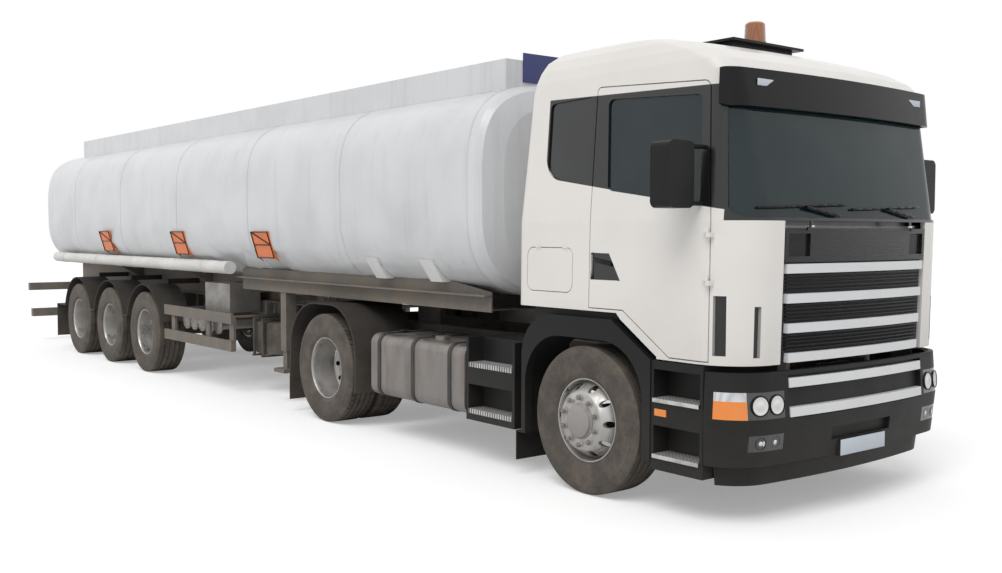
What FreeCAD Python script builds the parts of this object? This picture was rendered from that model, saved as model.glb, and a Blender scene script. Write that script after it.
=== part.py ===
import FreeCAD, Part
import math
import os

V = FreeCAD.Vector

# An articulated tanker truck. Origin at the middle of its box, on the ground.
# +X forward, +Y the vehicle's left, +Z up, lengths in millimetres.
# Places along the truck are reaches from the front axle (ahead or behind it) or from
# the named axle or pin, and widths are measured from the middle plane.

# Layout along the vehicle
front_overhang = 1450.0
wheelbase = 3700.0
king_pin_lead = 600.0
king_pin_to_first_axle = 5368.0
trailer_axle_spacing = 1360.0
trailer_axle_count = 3
trailer_rear_overhang = 2612.0

# Clearances shared by several pieces
fit_gap = 0.3
joint_share = 100.0
cut_over = 20.0
moving_gap = 8.0

# Tyres and rims
tyre_radius = 530.0
tyre_width = 315.0
wide_tyre_width = 385.0
tyre_shoulder_drop = 12.0
tyre_shoulder_inset = 22.0
tyre_bulge_radius = 420.0
tyre_wall_drop = 60.0
tyre_wall_inset = 4.0
tyre_flank_radius = 345.0
tyre_flank_inset = 12.0
tyre_bead_inset = 40.0
rim_seat_radius = 286.0
rim_lip_radius = 298.5
rim_wall = 11.0
disc_wall = 14.0
front_tyre_face = 1235.0
drive_tyre_face = 1231.5
trailer_tyre_face = 1244.0
twin_tyre_gap = 30.0
front_disc_place = 186.0
front_disc_attach = 60.0
trailer_disc_offset = 60.0
disc_flat_radius = 200.0
hand_hole_count = 10
hand_hole_circle = 238.0
hand_hole_radius = 23.0
hub_radius = 92.0
hub_cap_reach = 38.0
front_hub_radius = 120.0
drive_hub_reach = 100.0
drum_radius = 205.0
drum_width = 170.0
spindle_radius = 40.0
spindle_reach = 110.0

# Steering
king_axis_width = 960.0
knuckle_pin_radius = 25.0
knuckle_boss_radius = 45.0
knuckle_boss_height = 110.0
knuckle_ear_height = 34.0
knuckle_web_wall = 24.0
knuckle_web_gap = 7.0
knuckle_web_half_length = 62.0

# Tractor frame
rail_top = 970.0
rail_height = 270.0
rail_outer_width = 425.0
rail_flange = 90.0
rail_wall = 10.0
rail_front_reach = 950.0
rail_rear_reach = 740.0
cross_length = 120.0
cross_height = 160.0
cross_shares = [0.02, 0.27, 0.47, 0.64]
front_cross_reach = 195.0
front_cross_low = 560.0
front_cross_wall = 40.0
bumper_arm_reach = 1130.0
coupling_plate_wall = 16.0
coupling_hole_radius = 10.5
coupling_spacing_y = 160.0
coupling_spacing_z = 100.0

# Front axle and springs
front_beam_half_length = 50.0
beam_height = 90.0
beam_drop = 70.0
beam_flat_half_width = 560.0
spring_half_length = 850.0
spring_width = 80.0
spring_wall = 34.0
spring_sag = 95.0
spring_place_width = 375.0
spring_hanger_length = 90.0
spring_clamp_height = 40.0
spring_clamp_half_length = 100.0

# Drive axle
axle_tube_radius = 75.0
diff_radius = 215.0
diff_half_width = 190.0
air_spring_radius = 115.0
air_spring_spread = 390.0
spring_beam_height = 60.0
spring_beam_width = 90.0
shaft_radius = 50.0
shaft_end_height = 650.0

# Engine
engine_front_reach = 820.0
engine_rear_reach = 620.0
engine_half_width = 325.0
engine_bottom = 610.0
engine_top = 1230.0
engine_foot_length = 120.0
engine_foot_height = 90.0

# Fifth wheel
coupling_height = 1200.0
plate_wall = 40.0
plate_radius = 450.0
plate_slot_width = 80.0
plate_tail_reach = 520.0
tail_width_share = 0.6
slot_flare_share = 3.2
king_pin_radius = 25.4
king_pin_length = 80.0
pedestal_half_length = 190.0
pedestal_wall = 60.0

# Fuel tanks and straps
fuel_front_reach = 1432.0
fuel_length = 1420.0
fuel_bottom = 375.0
fuel_top = 935.0
fuel_outer_width = 1212.0
fuel_inner_width = 560.0
fuel_corner = 90.0
fuel_cap_radius = 62.0
fuel_cap_height = 32.0
fuel_cap_share = 0.62
fuel_cap_inset = 170.0
strap_width = 46.0
strap_wall = 7.0
strap_shares = [0.08, 0.46, 0.84]
strap_arm_height = 70.0

# Side boxes behind the front wheels
box_front_reach = 800.0
box_gap = 18.0
box_bottom = 345.0
box_top = 1010.0
box_outer_width = 1205.0
box_inner_width = 640.0
box_wall = 30.0
tread_wall = 38.0
tread_depth = 150.0
tread_tops = [812.0, 436.0]
tread_recess_height = 200.0

# Rear mudguards
guard_front_reach = 604.0
guard_rear_reach = 655.0
guard_foot_reach = 700.0
guard_flap_reach = 696.0
guard_top = 1162.0
guard_front_corner = 470.0
guard_rear_corner = 500.0
guard_wall = 14.0
guard_outer_width = 1236.0
guard_inner_width = 560.0
guard_bottom = 350.0
guard_open_drop = 100.0
guard_arm_length = 70.0
flap_wall = 10.0
flap_bottom = 140.0
flap_half_width = 160.0

# Cab body, seen from above at each height: half width, back and front reach
cab_low_height = 1030.0
cab_low_half_width = 1222.0
cab_low_back = 757.0
cab_low_front = 1405.0
cab_belt_height = 1935.0
cab_belt_half_width = 1206.0
cab_belt_back = 765.0
cab_belt_front = 1428.0
cab_eave_height = 2885.0
cab_eave_half_width = 1134.0
cab_eave_back = 706.0
cab_eave_front = 1236.0
cab_low_corner = 350.0
cab_belt_corner = 350.0
cab_eave_corner = 120.0
cab_rear_radius = 70.0
cab_bow_angle = 6.8
cab_wall = 60.0
skin_wall = 20.0
cab_floor_height = 1310.0
floor_wall = 50.0
arch_rise_reach = 341.0
arch_rise_height = 1268.0
arch_foot_reach = 680.0
arch_foot_height = 1045.0

# Roof crown
roof_heights = [2960.0, 3040.0, 3112.0, 3165.0, 3202.0]
roof_half_widths = [1128.0, 1112.0, 1082.0, 1025.0, 905.0]
roof_backs = [698.0, 683.0, 660.0, 612.0, 500.0]
roof_fronts = [1165.0, 1020.0, 810.0, 560.0, 270.0]
roof_corner_radii = [140.0, 170.0, 190.0, 190.0, 170.0]
roof_rear_radii = [90.0, 120.0, 150.0, 180.0, 200.0]

# Doors
door_rear_low_reach = 32.0
door_rear_high_reach = 30.0
door_front_reach = 1100.0
door_sill_height = 1335.0
door_sill_reach = 360.0
door_foot_reach = 788.0
door_front_high_reach = 1042.0
door_top_rear = 2866.0
door_top_front = 2812.0
door_bottom_height = 1052.0
door_rear_corner = 30.0
door_front_corner = 55.0
door_step_inset = 26.0
frame_step_inset = 10.0
door_cut_inner_width = 930.0
handle_points = [(41.0, 1530.0), (331.0, 1528.0), (221.0, 1712.0), (39.0, 1720.0)]
handle_corner = 18.0
handle_depth = 16.0
door_hinge_reach = 1102.0
door_hinge_width = 1228.0
door_hinge_heights = [1530.0, 1830.0]
door_hinge_length = 30.0
door_hinge_pin_radius = 5.0
door_hinge_eye_radius = 10.0
door_hinge_root = 1130.0
window_rear_low_reach = 183.0
window_rear_high_reach = 140.0
window_front_low_reach = 1018.0
window_front_high_reach = 983.0
window_top_rear = 2777.0
window_top_front = 2734.0
window_low_rear = 2147.0
window_low_front = 2032.0
window_corner = 45.0
glass_wall = 6.0
glass_depth = 14.0

# Sleeper windows behind the doors
sleeper_front_reach = 25.0
sleeper_rear_reach = 460.0
sleeper_top_front = 2812.0
sleeper_top_rear = 2797.0
sleeper_low_front = 2190.0
sleeper_low_rear = 2265.0
sleeper_front_corner = 20.0
sleeper_top_corner = 45.0
sleeper_low_corner = 130.0

# Locker hatches
locker_front_reach = 150.0
locker_rear_reach = 640.0
locker_low = 1430.0
locker_high = 1745.0
locker_corner = 62.0
locker_gap = 6.0
locker_step = 20.0
locker_eye_shares = [0.2, 0.8]
locker_eye_length = 24.0
locker_eye_radius = 4.0
locker_pin_radius = 2.0
locker_hinge_width = 1214.0
locker_hinge_height = 1749.0
locker_lug_inner_width = 1195.0
locker_leaf_inner_width = 1200.0
locker_leaf_height = 14.0

# Hinge the cab tilts on, ahead of the frame
tilt_reach = 1322.0
tilt_height = 800.0
tilt_pin_radius = 22.0
tilt_boss_radius = 34.0
tilt_arm_inner_width = 450.0
tilt_arm_outer_width = 490.0
tilt_arm_back_reach = 1095.0
tilt_arm_depth = 70.0
tilt_arm_rise = 50.0
tilt_block_half_length = 45.0

# Windscreen and the front lid
screen_low = 1955.0
screen_high = 2800.0
screen_low_half_width = 1155.0
screen_high_half_width = 1105.0
screen_corner = 70.0
screen_back_reach = 1080.0
lid_half_width = 812.0
lid_low = 1036.0
lid_high = 1888.0
lid_wall = 60.0
lid_mesh_depth = 30.0
lid_panel_low = 1672.0
lid_hinge_reach = 1410.0
lid_hinge_height = 1902.0
lid_eye_radius = 8.0
lid_pin_radius = 4.0
lid_eye_width = 560.0
lid_eye_length = 30.0
bar_height = 60.0
bar_tops = [1663.0, 1474.0, 1285.0, 1097.0]
bar_proud = 4.0
bar_end_inset = 6.0
bar_low_half_width = 750.0
grab_inner_width = 580.0
grab_outer_width = 780.0
grab_low = 1710.0
grab_high = 1855.0
bulkhead_reach = 1250.0
bulkhead_wall = 30.0
bulkhead_low = 1310.0
corner_gap = 8.0
corner_front_reach = 1109.0
corner_panel_wall = 36.0
slot_width = 42.0
slot_place_width = 1010.0
slot_low = 1080.0
slot_high = 1400.0
duct_length = 75.0
duct_inset = 20.0
duct_low = 1090.0
duct_high = 1465.0

# Sun visor
visor_low = 2645.0
visor_high = 2885.0
visor_side_proud = 45.0
visor_front_proud = 34.0
visor_high_side_proud = 63.0
visor_high_front_proud = 42.0
visor_wall = 26.0
visor_back_reach = 1135.0
visor_half_width = 1197.0
visor_low_corner = 70.0
visor_high_corner = 55.0
visor_bracket_widths = [150.0, 700.0]
visor_bracket_length = 40.0
visor_bracket_height = 60.0
visor_bracket_drop = 25.0

# Roof fittings and beacon
hatch_rear_reach = 130.0
hatch_front_reach = 620.0
hatch_half_width = 405.0
hatch_wall = 18.0
hatch_base_inset = 60.0
hatch_top = 3224.0
beacon_reach = 486.0
beacon_base_radius = 82.0
beacon_base_height = 26.0
beacon_low_radius = 78.0
beacon_high_radius = 72.0
beacon_top = 3388.0
beacon_crown = 12.0

# Mirrors
mirror_front_reach = 1055.0
mirror_rear_reach = 900.0
mirror_inner_width = 1300.0
mirror_outer_width = 1530.0
mirror_low = 2010.0
mirror_high = 2425.0
mirror_corner = 45.0
mirror_arm_radius = 14.0
mirror_arm_heights = [2395.0, 2040.0]
mirror_arm_reach = 1034.0

# Cab interior
dash_depth = 420.0
dash_top = 1925.0
dash_bottom = 1500.0
dash_half_width = 1010.0
wheel_radius = 225.0
wheel_rim_radius = 15.0
wheel_reach = 690.0
wheel_height = 1850.0
wheel_place_width = 480.0
wheel_tilt = 30.0
column_radius = 28.0
column_length = 260.0
dash_slope = 130.0
seat_place_width = 480.0
seat_half_width = 250.0
seat_length = 500.0
seat_rear_reach = -20.0
seat_top = 1760.0
seat_cushion = 130.0
seat_base_half_width = 190.0
seat_back_wall = 120.0
seat_back_top = 2480.0
bunk_rear_clear = 8.0
bunk_length = 540.0
bunk_top = 1800.0
bunk_half_width = 1020.0

# Bumper
bumper_top = 990.0
bumper_face_reach = 1446.0
bumper_top_front = 1425.0
bumper_mid_height = 690.0
bumper_low_height = 400.0
bumper_low_front = 1415.0
bumper_half_width = 1242.0
bumper_top_half_width = 1232.0
bumper_corner_radius = 330.0
bumper_wall = 34.0
bumper_back_reach = 1098.0
dam_bottom = 258.0
dam_inset = 85.0
dam_top = 370.0
dam_step_inset = 75.0
dam_back_reach = 700.0
grille_half_width = 775.0
grille_low = 690.0
grille_high = 962.0
grille_mesh_wall = 20.0
lower_bar_tops = [943.0, 757.0]
lower_bar_height = 60.0
lamp_low = 700.0
lamp_high = 870.0
lamp_inner_width = 815.0
lamp_margin = 62.0
fog_low = 497.0
fog_high = 600.0
fog_inner_width = 812.0
fog_outer_width = 1083.0
tow_recess_half_width = 340.0
tow_recess_low = 505.0
tow_recess_high = 590.0
number_plate_half_width = 260.0
number_plate_low = 388.0
number_plate_height = 110.0
number_plate_root = 1395.0
number_plate_reach = 1436.0
marker_place = 40.0

# Wheel arches and entry steps
arch_rear_reach = 640.0
arch_front_reach = 565.0
arch_liner_front_reach = 612.0
arch_liner_rear_reach = 655.0
arch_opening_top = 1112.0
arch_corner = 380.0
arch_bottom = 345.0
arch_band = 72.0
arch_rear_band = 42.0
arch_outer_corner = 330.0
arch_crest_top = 1300.0
arch_crest_rear_reach = 600.0
arch_crest_front_reach = 290.0
arch_top = 1262.0
arch_outer_width = 1236.0
arch_flange_width = 1165.0
arch_inner_width = 880.0
arch_wall = 14.0
entry_outer_width = 1228.0
entry_inner_width = 900.0
entry_top = 1022.0
entry_bottom = 300.0
entry_rear_reach = 640.0
entry_front_reach = 1086.0
entry_wall = 26.0
entry_tread_tops = [775.0, 405.0]
entry_tread_wall = 26.0
entry_tread_lip = 14.0
entry_recess_height = 190.0
marker_length = 100.0
marker_height = 46.0
marker_wall = 8.0
marker_height_place = 660.0
front_flap_reach = 745.0
entry_arm_length = 70.0
front_flap_bottom = 128.0

# Tank
tank_front_lead = 1760.0
tank_length = 11230.0
tank_dish = 190.0
tank_half_width = 1250.0
tank_mid_height = 2170.0
tank_upper_rise = 920.0
tank_lower_drop = 865.0
tank_upper_power = 3.6
tank_lower_power = 3.4
tank_point_count = 24
tank_fit = 0.6
dish_reach_shares = [0.0, 0.30, 0.55, 0.80, 0.93, 1.0]
dish_scale_shares = [1.0, 0.985, 0.95, 0.80, 0.58, 0.30]

# Coaming and manholes
coaming_half_width = 850.0
coaming_wall = 30.0
coaming_bottom = 2985.0
coaming_top = 3274.0
coaming_front_lead = 1745.0
coaming_rear_reach = 8905.0
manhole_count = 5
manhole_radius = 260.0
manhole_height = 90.0
manhole_lid_radius = 150.0
manhole_lid_height = 40.0
manhole_first_lead = 650.0
manhole_spacing = 2150.0

# Boards and placards
board_half_width = 670.0
board_low = 3095.0
board_high = 3335.0
board_wall = 12.0
placard_length = 400.0
placard_height = 300.0
placard_wall = 6.0
placard_tilt = 17.0
placard_low = 1572.0
placard_low_width = 1172.0
placard_reaches = [1725.0, 3975.0, 6620.0]
placard_frame_wall = 10.0
gusset_depth = 160.0
gusset_drop = 90.0

# White side brackets on the tank's flank
bracket_leads = [1070.0, 190.0]
bracket_length = 180.0
bracket_low = 1430.0
bracket_high = 1625.0
bracket_high_width = 1190.0
bracket_low_width = 1060.0

# Trailer frame
skid_wall = 12.0
skid_front_lead = 1600.0
skid_rear_reach = 1250.0
neck_wall = 12.0
neck_plate_count = 5
neck_front_inset = 450.0
ledge_width = 985.0
ledge_wall = 14.0
ledge_flange = 75.0
ledge_rear_reach = 2900.0
ledge_front_lead = 1730.0
ledge_lip_low = 1330.0
ledge_high = 1455.0
ledge_nose_high = 1365.0
ledge_nose_length = 620.0
beam_top = 1345.0
beam_bottom = 1020.0
beam_half_gap = 455.0
beam_wall = 14.0
beam_flange = 110.0
beam_front_reach = 1925.0
beam_rear_inset = 420.0
trailer_cross_shares = [0.0, 0.22, 0.44, 0.66, 0.8638]
trailer_cross_wall = 60.0
trailer_cross_low = 1060.0
trailer_cross_height = 180.0
saddle_length = 60.0
saddle_reaches = [2300.0, 4900.0, 7400.0]
saddle_half_width = 960.0
saddle_high = 1425.0

# Landing legs
leg_reach = 1935.0
leg_half = 62.0
leg_bottom = 330.0
leg_inner_half = 45.0
leg_outer_bottom = 560.0
leg_brace_height = 1100.0
leg_foot_half = 120.0
leg_foot_height = 40.0
leg_shaft_radius = 18.0
leg_shaft_height = 980.0

# Trailer axles
trailer_tube_radius = 64.0
trail_arm_reach = 480.0
trail_arm_height = 70.0
trail_arm_width = 80.0
hanger_wall = 90.0
hanger_pin_height = 720.0
arm_side_clear = 20.0
bellows_radius = 125.0
bellows_reach = 330.0

# Trailer mudguards
cover_inner_radius = 620.0
cover_wall = 12.0
cover_inner_width = 850.0
cover_outer_width = 1248.0
cover_bottom = 700.0
cover_arm_height = 60.0
cover_arm_overlap = 60.0
trailer_flap_reach = 1012.0
trailer_flap_width = 350.0
trailer_flap_bottom = 200.0

# Hose tubes
tube_radius = 73.0
tube_height = 1447.0
tube_width = 1172.0
tube_front_reach = 2830.0
tube_rear_reach = 9260.0
tube_ring_radius = 77.0
tube_ring_length = 40.0
tube_ring_reaches = [3500.0, 4510.0, 5830.0, 7240.0, 8760.0]
tube_arm_wall = 14.0
tube_arm_spread = 90.0
tube_arm_reach = 240.0
tube_arm_rise = 160.0

# Side guards
rail_guard_width = 1215.0
rail_guard_wall = 30.0
rail_guard_front_reach = 2730.0
rail_guard_rear_reach = 4710.0
rail_guard_tops = [930.0, 620.0]
rail_guard_heights = [122.0, 124.0]
rail_guard_post = 110.0
rail_guard_post_shares = [0.0, 0.33, 0.86]
guard_stay_low = 872.0
guard_stay_high = 898.0

# Valve gear
cabinet_front_reach = 3200.0
cabinet_length = 700.0
cabinet_low = 900.0
cabinet_high = 1240.0
cabinet_inner_width = 620.0
cabinet_outer_width = 1010.0
manifold_radius = 60.0
manifold_height = 760.0
riser_width = 200.0
manifold_count = 5
manifold_pitch = 230.0
manifold_first_reach = 3300.0
manifold_outer_width = 1120.0
outlet_flange_radius = 110.0
outlet_flange_wall = 20.0
outlet_bolt_circle = 180.0
outlet_bolt_radius = 9.0
outlet_bolt_count = 8

# Spare wheel
spare_reach = 2660.0
spare_width = -360.0
spare_bottom = 450.0
spare_cradle_wall = 20.0
spare_cradle_half = 110.0
spare_hanger_top = 850.0

# Rear beam and underrun beam
tail_bar_low = 850.0
tail_bar_high = 975.0
tail_bar_wall = 100.0
tail_half_width = 1250.0
underrun_low = 412.0
underrun_high = 545.0
underrun_depth = 120.0
underrun_set_back = 110.0
underrun_half_width = 1240.0
tail_arm_length = 160.0

# Places worked out from the layout
overall_length = (front_overhang + wheelbase - king_pin_lead + king_pin_to_first_axle
                  + (trailer_axle_count - 1) * trailer_axle_spacing + trailer_rear_overhang)
front_axle_x = overall_length / 2 - front_overhang
drive_axle_x = front_axle_x - wheelbase
king_pin_x = drive_axle_x + king_pin_lead
trailer_axle_xs = [king_pin_x - king_pin_to_first_axle - i * trailer_axle_spacing
                   for i in range(trailer_axle_count)]
rail_bottom = rail_top - rail_height
rail_inner_width = rail_outer_width - rail_flange
knuckle_face_width = king_axis_width + knuckle_boss_radius + knuckle_web_gap + knuckle_web_wall
drive_spindle_face = drive_tyre_face - tyre_width - twin_tyre_gap / 2 - drum_width
trailer_spindle_face = trailer_tyre_face - wide_tyre_width / 2 - trailer_disc_offset - disc_wall - drum_width
leg_width = ledge_width - ledge_wall - fit_gap
rail_front_x = front_axle_x + rail_front_reach
rail_rear_x = drive_axle_x - rail_rear_reach
full_turn = 360.0


# Shapes made in one line


def plane_point(plane, a, b, level):
    if plane == "xz":
        return V(a, level, b)
    if plane == "yz":
        return V(level, a, b)
    return V(a, b, level)


def corner_arc(before, corner, after, radius):
    back = (before - corner).normalize()
    ahead = (after - corner).normalize()
    half = back.getAngle(ahead) / 2
    run = radius / math.tan(half)
    middle = (back + ahead).normalize()
    centre = corner + middle * (radius / math.sin(half))
    return corner + back * run, centre - middle * radius, corner + ahead * run


def outline(plane, points, level):
    """A closed wire: each point is (a, b) or (a, b, corner radius)."""
    places = [plane_point(plane, p[0], p[1], level) for p in points]
    edges = []
    starts = []
    ends = []
    for i, place in enumerate(places):
        radius = points[i][2] if len(points[i]) > 2 else 0
        if radius:
            first, middle, last = corner_arc(places[i - 1], place, places[(i + 1) % len(places)], radius)
            edges.append((i, Part.Arc(first, middle, last).toShape()))
            starts.append(first)
            ends.append(last)
        else:
            starts.append(place)
            ends.append(place)
    ordered = []
    arcs = dict(edges)
    for i in range(len(places)):
        if i in arcs:
            ordered.append(arcs[i])
        following = starts[(i + 1) % len(places)]
        if ends[i].distanceToPoint(following) > fit_gap / joint_share:
            ordered.append(Part.LineSegment(ends[i], following).toShape())
    return Part.Wire(ordered)


def prism(plane, points, low, high):
    """An outline drawn in a plane and pushed from one level to another."""
    face = Part.Face(outline(plane, points, low))
    way = plane_point(plane, 0, 0, high - low)
    return face.extrude(way)


def box(x_low, x_high, y_low, y_high, z_low, z_high):
    return Part.makeBox(x_high - x_low, y_high - y_low, z_high - z_low, V(x_low, y_low, z_low))


def rod(start, end, radius):
    return Part.makeCylinder(radius, start.distanceToPoint(end), start, end - start)


def turned(profile, centre, axis_way):
    """A closed profile of (along the axis, radius) points, turned about an axis through the centre."""
    across = V(1, 0, 0)
    places = [centre + axis_way * p[0] + across * p[1] for p in profile]
    face = Part.Face(Part.makePolygon(places + [places[0]]))
    return face.revolve(centre, axis_way, full_turn)


def other_side(shape):
    return shape.mirror(V(0, 0, 0), V(0, 1, 0))


def joined(shapes):
    return shapes[0].multiFuse(shapes[1:]) if len(shapes) > 1 else shapes[0]


def pair(shape):
    return [shape, other_side(shape)]


def save(node, shapes):
    solids = [solid for shape in shapes for solid in shape.Solids]
    whole = solids[0] if len(solids) == 1 else Part.makeCompound(solids)
    whole.exportStep("parts/" + node + ".step")


def one_side(shape, side):
    return shape if side == "left" else other_side(shape)


# Wheels


def tyre_at(outer_face, width, x):
    """A tyre on the left side, its outer wall at outer_face, its hollow filled down to the rim."""
    half = width / 2
    tread_half = half - tyre_shoulder_inset
    bead_half = half - tyre_bead_inset
    seat = rim_seat_radius + fit_gap
    lip = rim_lip_radius + fit_gap
    shoulder = tyre_radius - tyre_shoulder_drop
    upper = [(tread_half, tyre_radius), (half - tyre_shoulder_drop, shoulder),
             (half - tyre_wall_inset, tyre_radius - tyre_wall_drop), (half, tyre_bulge_radius),
             (half - tyre_flank_inset, tyre_flank_radius), (bead_half, lip), (bead_half, seat)]
    lower = [(-a, r) for a, r in reversed(upper)]
    return turned(upper + lower, V(x, outer_face - half, tyre_radius), V(0, 1, 0))


def rim_half(width):
    return width / 2 - tyre_bead_inset + rim_wall + fit_gap


def rim_at(outer_face, width, attach, disc, way, x):
    """A rim whose disc leaves the barrel at attach and lies flat at disc, both from its middle plane."""
    half = rim_half(width)
    seat_half = half - rim_wall
    barrel = rim_seat_radius - rim_wall
    bore = spindle_radius + fit_gap
    profile = [(half, rim_lip_radius), (seat_half, rim_lip_radius), (seat_half, rim_seat_radius),
               (-seat_half, rim_seat_radius), (-seat_half, rim_lip_radius), (-half, rim_lip_radius),
               (-half, barrel), (attach - disc_wall, barrel), (disc - disc_wall, disc_flat_radius),
               (disc - disc_wall, bore), (disc, bore), (disc, disc_flat_radius), (attach, barrel),
               (half, barrel)]
    centre = V(x, outer_face - width / 2, tyre_radius)
    rim = turned(profile, centre, V(0, way, 0))
    return rim.cut(hand_holes(centre, way, min(attach, disc) - disc_wall * 2, max(attach, disc) + disc_wall))


def hand_holes(centre, way, low, high):
    """Rods for the round holes in a rim's disc, between two places along its axis."""
    rods = []
    for i in range(hand_hole_count):
        angle = math.radians(full_turn * (i + 1 / 2) / hand_hole_count)
        across = V(hand_hole_circle * math.cos(angle), 0, hand_hole_circle * math.sin(angle))
        start = centre + across + V(0, way * low, 0)
        rods.append(rod(start, start + V(0, way * (high - low), 0), hand_hole_radius))
    return rods


def hub_at(disc_y, cap_reach, inner_y, x, radius=hub_radius):
    """A hub with its cap outside the disc and its brake drum inside, bored for the spindle."""
    cap_y = disc_y + cap_reach
    drum_outer = disc_y - disc_wall
    bore = spindle_radius + fit_gap
    bore_end = inner_y + spindle_reach + fit_gap
    profile = [(cap_y, 0), (cap_y, radius), (drum_outer, radius), (drum_outer, drum_radius),
               (inner_y, drum_radius), (inner_y, bore), (bore_end, bore), (bore_end, 0)]
    return turned(profile, V(x, 0, tyre_radius), V(0, 1, 0))


def front_wheel():
    disc_y = front_tyre_face - tyre_width / 2 + front_disc_place
    rim = rim_at(front_tyre_face, tyre_width, front_disc_attach, front_disc_place, 1, front_axle_x)
    return [tyre_at(front_tyre_face, tyre_width, front_axle_x),
            joined([rim, hub_at(disc_y, hub_cap_reach, knuckle_face_width + fit_gap, front_axle_x,
                                front_hub_radius)])]


def drive_wheel():
    """Twin wheels, their discs bolted back to back between the two rims."""
    second_face = drive_tyre_face - tyre_width - twin_tyre_gap
    joint_y = drive_tyre_face - tyre_width - twin_tyre_gap / 2
    disc = joint_y + disc_wall - (drive_tyre_face - tyre_width / 2)
    attach = disc_wall * 2 - rim_half(tyre_width)
    outer_rim = rim_at(drive_tyre_face, tyre_width, attach, disc, 1, drive_axle_x)
    inner_rim = rim_at(second_face, tyre_width, attach, disc, -1, drive_axle_x)
    hub = hub_at(joint_y + disc_wall, drive_hub_reach, drive_spindle_face + fit_gap, drive_axle_x)
    return [tyre_at(drive_tyre_face, tyre_width, drive_axle_x),
            tyre_at(second_face, tyre_width, drive_axle_x),
            joined([outer_rim, inner_rim, hub])]


def trailer_wheel(x):
    attach = disc_wall * 2 - rim_half(wide_tyre_width)
    disc_y = trailer_tyre_face - wide_tyre_width / 2 - trailer_disc_offset
    rim = rim_at(trailer_tyre_face, wide_tyre_width, attach, -trailer_disc_offset, 1, x)
    hub = hub_at(disc_y, hub_cap_reach, trailer_spindle_face + fit_gap, x)
    return [tyre_at(trailer_tyre_face, wide_tyre_width, x), joined([rim, hub])]


# Tractor frame and running gear


def chassis_frame():
    """Two channel rails open inwards, cross members between them and a coupling plate at the rear."""
    channel = [(rail_outer_width, rail_bottom), (rail_outer_width, rail_top), (rail_inner_width, rail_top),
               (rail_inner_width, rail_top - rail_wall), (rail_outer_width - rail_wall,
                                                          rail_top - rail_wall),
               (rail_outer_width - rail_wall, rail_bottom + rail_wall),
               (rail_inner_width, rail_bottom + rail_wall), (rail_inner_width, rail_bottom)]
    rails = pair(prism("yz", channel, rail_rear_x, rail_front_x))
    web_width = rail_outer_width - rail_wall
    crosses = []
    for share in cross_shares:
        x = rail_rear_x + share * (rail_front_x - rail_rear_x)
        crosses.append(box(x, x + cross_length, -web_width, web_width, rail_bottom + rail_wall,
                           rail_bottom + rail_wall + cross_height))
    x = front_axle_x + front_cross_reach
    crosses.append(box(x, x + cross_length, -rail_outer_width, rail_outer_width, front_cross_low,
                       front_cross_low + front_cross_wall))
    crosses += pair(box(x, x + cross_length, web_width - rail_wall, rail_outer_width, front_cross_low,
                        rail_top))
    rear = box(rail_rear_x, rail_rear_x + coupling_plate_wall, -web_width, web_width, rail_bottom, rail_top)
    middle_z = (rail_bottom + rail_top) / 2
    for side_y in (-1, 1):
        for side_z in (-1, 1):
            place = V(rail_rear_x - cut_over, side_y * coupling_spacing_y / 2,
                      middle_z + side_z * coupling_spacing_z / 2)
            way = V(coupling_plate_wall + cut_over * 2, 0, 0)
            rear = rear.cut(rod(place, place + way, coupling_hole_radius))
    bumper_arm_x = front_axle_x + bumper_arm_reach
    arms = pair(box(rail_front_x, bumper_arm_x, rail_inner_width, rail_outer_width, rail_bottom, rail_top))
    return [joined(rails + crosses + [rear] + arms)]


def front_axle():
    """A forged beam with a dropped middle, on two leaf springs hung from the rails."""
    end_width = king_axis_width
    low = tyre_radius - beam_height / 2
    high = tyre_radius + beam_height / 2
    flat = beam_flat_half_width
    profile = [(-end_width, low), (-flat - beam_drop, low), (-flat, low - beam_drop), (flat,
                                                                                       low - beam_drop),
               (flat + beam_drop, low), (end_width, low), (end_width, high), (flat + beam_drop, high),
               (flat, high - beam_drop), (-flat, high - beam_drop), (-flat - beam_drop, high),
               (-end_width, high)]
    beam = prism("yz", profile, front_axle_x - front_beam_half_length, front_axle_x + front_beam_half_length)
    eyes = []
    bores = []
    for side in (-1, 1):
        foot = V(front_axle_x, side * king_axis_width, tyre_radius - knuckle_boss_height / 2)
        eyes.append(rod(foot, foot + V(0, 0, knuckle_boss_height), knuckle_boss_radius))
        start = foot - V(0, 0, cut_over)
        bores.append(rod(start, start + V(0, 0, knuckle_boss_height + cut_over * 2),
                         knuckle_pin_radius + fit_gap))
    beam = joined([beam] + eyes)
    for bore in bores:
        beam = beam.cut(bore)
    seat = high - beam_drop
    side_low = spring_place_width - spring_width / 2
    side_high = spring_place_width + spring_width / 2
    ends = spring_half_length
    arc_low = [V(-ends, 0, spring_sag), V(0, 0, 0), V(ends, 0, spring_sag)]
    lift = V(0, 0, spring_wall)
    low_arc = Part.Arc(*arc_low).toShape()
    high_arc = Part.Arc(*[p + lift for p in arc_low]).toShape()
    caps = [Part.LineSegment(arc_low[0], arc_low[0] + lift).toShape(),
            Part.LineSegment(arc_low[2], arc_low[2] + lift).toShape()]
    leaf = Part.Face(Part.Wire(Part.__sortEdges__([low_arc, high_arc] + caps))).extrude(V(0, spring_width,
                                                                                          0))
    leaf.translate(V(front_axle_x, side_low, seat))
    clamp = box(front_axle_x - spring_clamp_half_length, front_axle_x + spring_clamp_half_length, side_low,
                side_high, seat + spring_wall / 2, seat + spring_wall + spring_clamp_height)
    hangers = [box(front_axle_x + end - spring_hanger_length / 2,
                   front_axle_x + end + spring_hanger_length / 2,
                   side_low, side_high, seat + spring_sag, rail_bottom) for end in (-ends, ends)]
    spring = joined([leaf, clamp] + hangers)
    return [joined([beam] + pair(spring))]


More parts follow.
